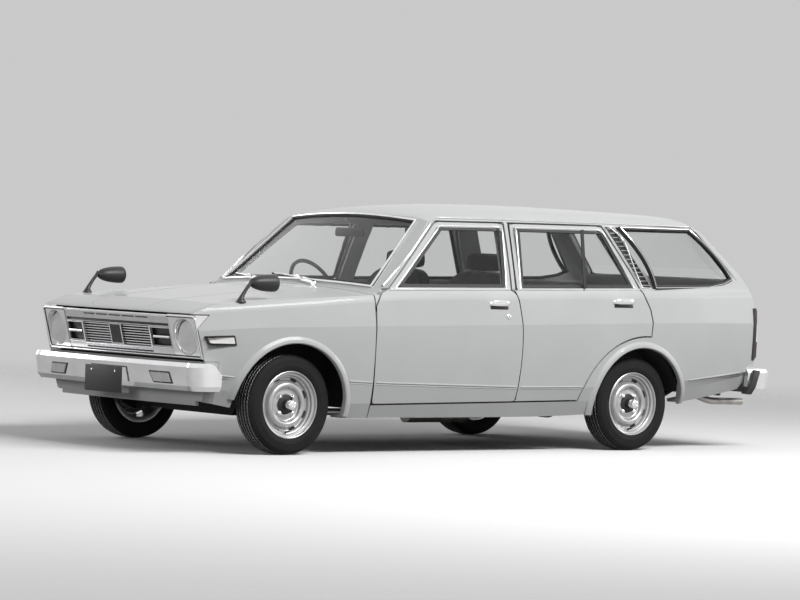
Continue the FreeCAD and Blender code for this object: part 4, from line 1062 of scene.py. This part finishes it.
def headlamps():
    """Lens, bright bowl and bulb of each headlamp, in place of the plain solid."""
    for label, side in SIDES:
        for part, run, look, closed, leans in [
                ("lens", LENS, "fluted", True, False), ("bowl", BOWL, "chrome", True, False),
                ("bulb", BULB, "pale", False, False), ("gap", LAMP_GAP, "black", True, True),
                ("ring", LAMP_RING, "chrome", True, True)]:
            rings = []
            for r, y in run:
                for c, s in circle(56):
                    back = side * r * c * LAMP_SWEEP - NOSE_LEAN * r * s if leans else 0
                    rings.append(at(side * LAMP_X + r * c, y + back, LAMP_Z + r * s))
            thing = piece("headlamp_%s_%s" % (part, label), rings,
                          rings_to_faces(len(run), 56, closed), look)
            if part == "lens" and side > 0:
                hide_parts("headlamps")


def bumper_plate(name, outline, high, look, corner=5.0):
    """Plate with rounded edges that lies on the front bumper."""
    hits = []
    for x, z in rounded(outline, corner):
        place, normal, _, _ = bumper_tree.ray_cast(at(x, -900, z), BACKWARD)
        hits.append((place, normal.normalized()))
    rings = plate_rings(hits, (1.0, -3), (1.0, high * 0.6), (0.97, high))
    stack(name, rings, len(hits), look)


def front_details():
    """Lamps in the front bumper and the blank number plate with its two screws."""
    for label, side in SIDES:
        outer = [(side * x, z) for x, z in ((366, 412), (528, 412), (550, 352), (400, 352))]
        bumper_plate("bumper_lamp_frame_" + label, outer, 4, "black")
        bumper_plate("bumper_lamp_lens_" + label, inset(outer, 7), 6.5, "pale", 4)
        divide = [(side * x, z) for x, z in ((446, 408), (452, 408), (466, 357), (460, 357))]
        bumper_plate("bumper_lamp_divider_" + label, divide, 7.2, "satin", 1)
    half_wide, half_tall, level = 165, 67, 350
    path = rounded([(-half_wide, level - half_tall), (half_wide, level - half_tall),
                    (half_wide, level + half_tall), (-half_wide, level + half_tall)], 6)
    rings = [at(x * (1 - shrink / half_wide), y, level + (z - level) * (1 - shrink / half_tall))
             for y, shrink in ((-650, 1.0), (-649, 0), (-647, 0), (-646, 1.0)) for x, z in path]
    stack("plate_blank", rings, len(path), "black")
    for label, side in SIDES:
        spot = at(side * 105, -650, 392)
        rings = [spot + Vector((r * c, -out, r * s)) * MM
                 for r, out in ((6, -1), (6, 2), (4, 3.2), (0.4, 3.4)) for c, s in circle(20)]
        stack("plate_screw_" + label, rings, 20, "chrome")


# Windshield surround, wipers, aerial, hood lines

GLASS_NORMAL = Vector((0, -0.655, 0.755)).normalized()
ON_GLASS = 0.8
# Way inwards, half width, height, bow and the half width that it is for: foot and top
SHIELD_EDGES = ((1, 640, 884, 22, 652), (-1, 528, 1232, 26, 536))
WIPERS = (("one", (300, 452), (-170, 500)), ("two", (-180, 440), (-580, 556)))
# Shares of the way to the tip with the way back from it, profile, look and height over the glass
WIPER_PARTS = (
    ("blade", ((0.1, 40), (0.4, 38), (0.7, 36), (1.0, 34)),
     [(-4, 1), (-2.5, 8), (2.5, 8), (4, 1)], "rubber", 1.0),
    ("holder", ((0.16, 39), (0.5, 37), (0.94, 34)), half_round(9, 5, 2), "chrome", 7.0),
    ("arm", ((0.0, 0), (0.2, 14), (0.42, 30), (0.55, 36)), half_round(13, 7, 2), "chrome", 13.0))
PIVOT_CAP = [(15, -6), (15, 14), (13, 18), (8, 20), (0.01, 20.5)]
HOOD_LINE = [(250, -560), (268, -380), (300, -100), (322, 150), (336, 330)]


def shield_line(shrink):
    """Points and normals on the glass's edge seen from the front, moved inwards."""
    spots, normals = [], []
    for way, half, level, bow, full in SHIELD_EDGES:
        for step in range(-8, 9):
            x = way * step * (half - shrink) / 8
            z = level - bow * (x / full) ** 2 + way * shrink
            place, normal, _, _ = shield_tree.ray_cast(at(x, -1500, z), BACKWARD)
            normal = normal.normalized()
            spots.append(place)
            normals.append(normal if normal.dot(GLASS_NORMAL) > ON_GLASS else GLASS_NORMAL)
    return spots, normals


def windshield_trim():
    """Rubber seal of the windshield with a bright bead on it."""
    seal = [(-7, -4), (-7, 6), (-5, 7.5), (4, 7.5), (6, 5), (6, -4)]
    for name, shrink, profile, look, lift in [
            ("shield_rubber", 6, seal, "rubber", 0.0),
            ("shield_bright", -3, half_round(12, 5, 5), "chrome", 6.0)]:
        spots, normals = shield_line(shrink)
        spots = [spot + normal * (lift * MM) for spot, normal in zip(spots, normals)]
        piece(name, *sweep(spots, normals, profile, True), look)


def wipers():
    """Arm, blade and pivot cap of each wiper, parked at the foot of the windshield."""
    for label, (x0, y0), (x1, y1) in WIPERS:
        for part, shares, profile, look, lift in WIPER_PARTS:
            path = [(x0 + (x1 - x0) * share, y0 + (y1 - y0) * share + up) for share, up in shares]
            top_trim("wiper_%s_%s" % (part, label), path, profile, look, lift=lift, step=40)
        place = top_at(x0, y0)
        ring = [place + Vector((r * c * MM, r * s * MM, z * MM))
                for r, z in PIVOT_CAP for c, s in circle(28)]
        stack("wiper_pivot_" + label, ring, 28, "chrome")


def aerial():
    """Thin mast beside the right windshield pillar, held a little off it."""
    foot, tip, off = at(-640, 640, 905), at(-560, 905, 1196), Vector((-8 * MM, 0, 14 * MM))
    spots = [foot.lerp(tip, t) + off for t in (0, 0.25, 0.5, 0.75, 1.0)]
    piece("aerial", *tube(spots, [4.5, 3, 2.4, 2.0, 1.6]), "chrome")


def hood_lines():
    """Two raised lines along the hood."""
    for label, side in SIDES:
        path = [(side * x, y) for x, y in HOOD_LINE]
        top_trim("hood_line_" + label, path, half_round(7, 2.0, 0.5), "paint", "hood")


# Cabin: side outlines of (y, z)

SEAT_BASE = [(962, 268), (1420, 262), (1452, 400), (1400, 420), (1100, 432), (975, 424),
             (962, 380)]
SEAT_BACK = [(1368, 400), (1448, 380), (1500, 560), (1596, 930), (1578, 952), (1530, 946),
             (1490, 880)]
HEADREST = [(1546, 958), (1570, 950), (1610, 955), (1618, 990), (1612, 1040), (1580, 1050),
            (1556, 1036)]
HEADREST_POST = [(1530, 860), (1560, 930), (1582, 975)]
REAR_BASE = [(1815, 362), (2190, 358), (2190, 490), (2110, 506), (1870, 512), (1822, 500)]
REAR_BACK = [(2130, 500), (2210, 470), (2290, 740), (2300, 772), (2256, 778), (2226, 760)]
FRONT_SEAMS = (-0.6, -0.2, 0.2, 0.6)
REAR_SEAMS = (-0.5, 0.0, 0.5)
SEAT_X, REAR_SEAT_HALF = 350, 512
PAD_STEPS = 18
PAD_CORNER, PAD_CLOTH_STEP = 34, 26
EDGE_DRAW = 0.16
SEAM_PINCH, SEAM_HALF = 0.05, 0.035


def seat_pad(name, outline, half, node=None, centre=0.0, seams=()):
    """Padded form from a side outline: crowned sides, drawn-in edges and pinched seams."""
    path = dense(rounded(outline, PAD_CORNER), PAD_CLOTH_STEP)
    stations = []
    for i in range(PAD_STEPS + 1):
        u = -1 + 2 * i / PAD_STEPS
        draw = 1 - EDGE_DRAW * abs(u) ** 5
        pinch = sum(SEAM_PINCH * math.exp(-((u - seam) / SEAM_HALF) ** 2) for seam in seams)
        stations.append((centre + half * math.copysign(abs(u) ** 0.92, u), draw - pinch))
    thing = stack(name, shrunk_rings(path, stations), len(path), "cloth", sharp=60)
    if node:
        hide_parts(node)


def seats():
    """Front seats with headrests and the rear bench, in place of their plain solids."""
    for label, side in SIDES:
        x = side * SEAT_X
        seat_pad("seat_base_" + label, SEAT_BASE, 228, "seat_front_" + label, x, FRONT_SEAMS)
        seat_pad("seat_back_" + label, SEAT_BACK, 226, None, x, FRONT_SEAMS)
        seat_pad("headrest_" + label, HEADREST, 136, None, x)
        for end, offset in (("in", -52), ("out", 52)):
            spots = [at(x + offset, y, z) for y, z in HEADREST_POST]
            piece("headrest_post_%s_%s" % (end, label), *tube(spots, [6] * 3), "chrome")
    seat_pad("rear_base", REAR_BASE, REAR_SEAT_HALF, "seat_rear", seams=REAR_SEAMS)
    seat_pad("rear_back", REAR_BACK, REAR_SEAT_HALF, seams=REAR_SEAMS)


def cabin_details():
    """Inner mirror on its stalk."""
    outline = rounded([(-122, 1112), (122, 1112), (118, 1160), (-118, 1160)], 18)
    level = 1136
    rings = [at(x * share, y, level + (z - level) * share)
             for y, share in ((905, 0.9), (908, 1.0), (918, 1.0), (926, 0.8)) for x, z in outline]
    stack("inner_mirror", rings, len(outline), "black")
    spots = [at(0, 921, 1140), at(0, 912, 1180), at(0, 880, 1206)]
    piece("inner_mirror_stalk", *tube(spots, [5] * 3), "satin")


# Tail

TAIL_LENSES = (("stop", 508, 600, "red"), ("turn", 606, 690, "amber"), ("back", 696, 780, "pale"))
SIDE_LENSES = (("low", 512, 600, "red"), ("middle", 608, 690, "pale"), ("high", 698, 776, "red"))
LENS_EDGE = [(-9, -4), (-9, 4), (-6, 8), (6, 7), (9, 2), (9, -4)]
LENS_FRAME = [(-13, -3), (-13, 3), (-9, 6), (9, 6), (13, 3), (13, -3)]
GATE_WINDOW = [(-512, 1206), (512, 1206), (604, 940), (-604, 940)]
GATE_LEVEL = 1073
GATE_WIDER, GATE_TALLER = 1.012, 1.03
BUMPER_END = [(3154, 312), (3196, 306), (3228, 345), (3262, 441), (3214, 446), (3198, 386)]


def on_tail(x, z):
    place, normal, _, _ = tail_tree.ray_cast(at(x, 4200, z), -BACKWARD)
    return place, normal.normalized()


def tail_plate(name, outline, high, look, corner, body=SHELL):
    """Plate on the tail; one on the shell has a twin on the other side."""
    hits = [(on_tail(x, z)[0], BACKWARD) for x, z in rounded(outline, corner)]
    rings = plate_rings(hits, (1.0, -3), (1.0, high * 0.6), (0.97, high))
    thing = stack(name, rings, len(hits), look, body)
    if body == SHELL:
        mirror(thing, SHELL, name + "_right")


def tail_details():
    """Lamp lenses, blank plate with its lamps, handle and window rubber of the tailgate."""
    for label, z0, z1, look in TAIL_LENSES:
        outline = [(572, z0), (704, z0), (704, z1), (572, z1)]
        tail_plate("tail_" + label, outline, 5, look, 8)
    surround = [(566, 502), (738, 502), (738, 786), (566, 786)]
    tail_plate("tail_surround", surround, 2.5, "black", 12)
    for label, z0, z1, look in SIDE_LENSES:
        side_trim("tail_edge_" + label, [(3246, z0), (3248, z1)], LENS_EDGE, look)
    side_trim("tail_edge_frame", [(3226, 502), (3230, 788)], LENS_FRAME, "black")
    plate = [(-165, 560), (165, 560), (165, 725), (-165, 725)]
    tail_plate("tail_plate_blank", plate, 4, "black", 6, "tailgate")
    handle = [(-70, 772), (70, 772), (62, 800), (-62, 800)]
    tail_plate("tailgate_handle", handle, 12, "chrome", 6, "tailgate")
    for label, side in SIDES[::-1]:
        lamp = [(side * x, z) for x, z in ((60, 735), (110, 735), (110, 752), (60, 752))]
        tail_plate("tail_plate_lamp_" + label, lamp, 10, "pale", 3, "tailgate")
    hits = [on_tail(x * GATE_WIDER, GATE_LEVEL + (z - GATE_LEVEL) * GATE_TALLER)
            for x, z in dense(rounded(GATE_WINDOW, 40), 60)]
    seal = [(-10, -4), (-10, 3), (-6, 6), (6, 6), (10, 2), (10, -4)]
    piece("gate_window_rubber", *sweep(*zip(*hits), seal, True), "rubber", "tailgate")


def bumper_ends():
    """Black end mouldings of the rear bumper."""
    path = rounded(BUMPER_END, 8)
    rings = shrunk_rings(path, ((730, 1.0), (769, 1.0), (772, 0.94)))
    mirror(stack("bumper_end_rear_left", rings, len(path), "rubber"))


def main():
    bpy.context.scene.view_settings.view_transform = "Standard"
    camera()
    studio()
    dress_nodes()
    for make in (wheels, window_frames, door_edges, mouldings, door_furniture, side_marker,
                 louvres, mirrors, grille_trim, headlamps, front_details, windshield_trim, wipers,
                 aerial, hood_lines, seats, cabin_details, tail_details, bumper_ends):
        make()


main()
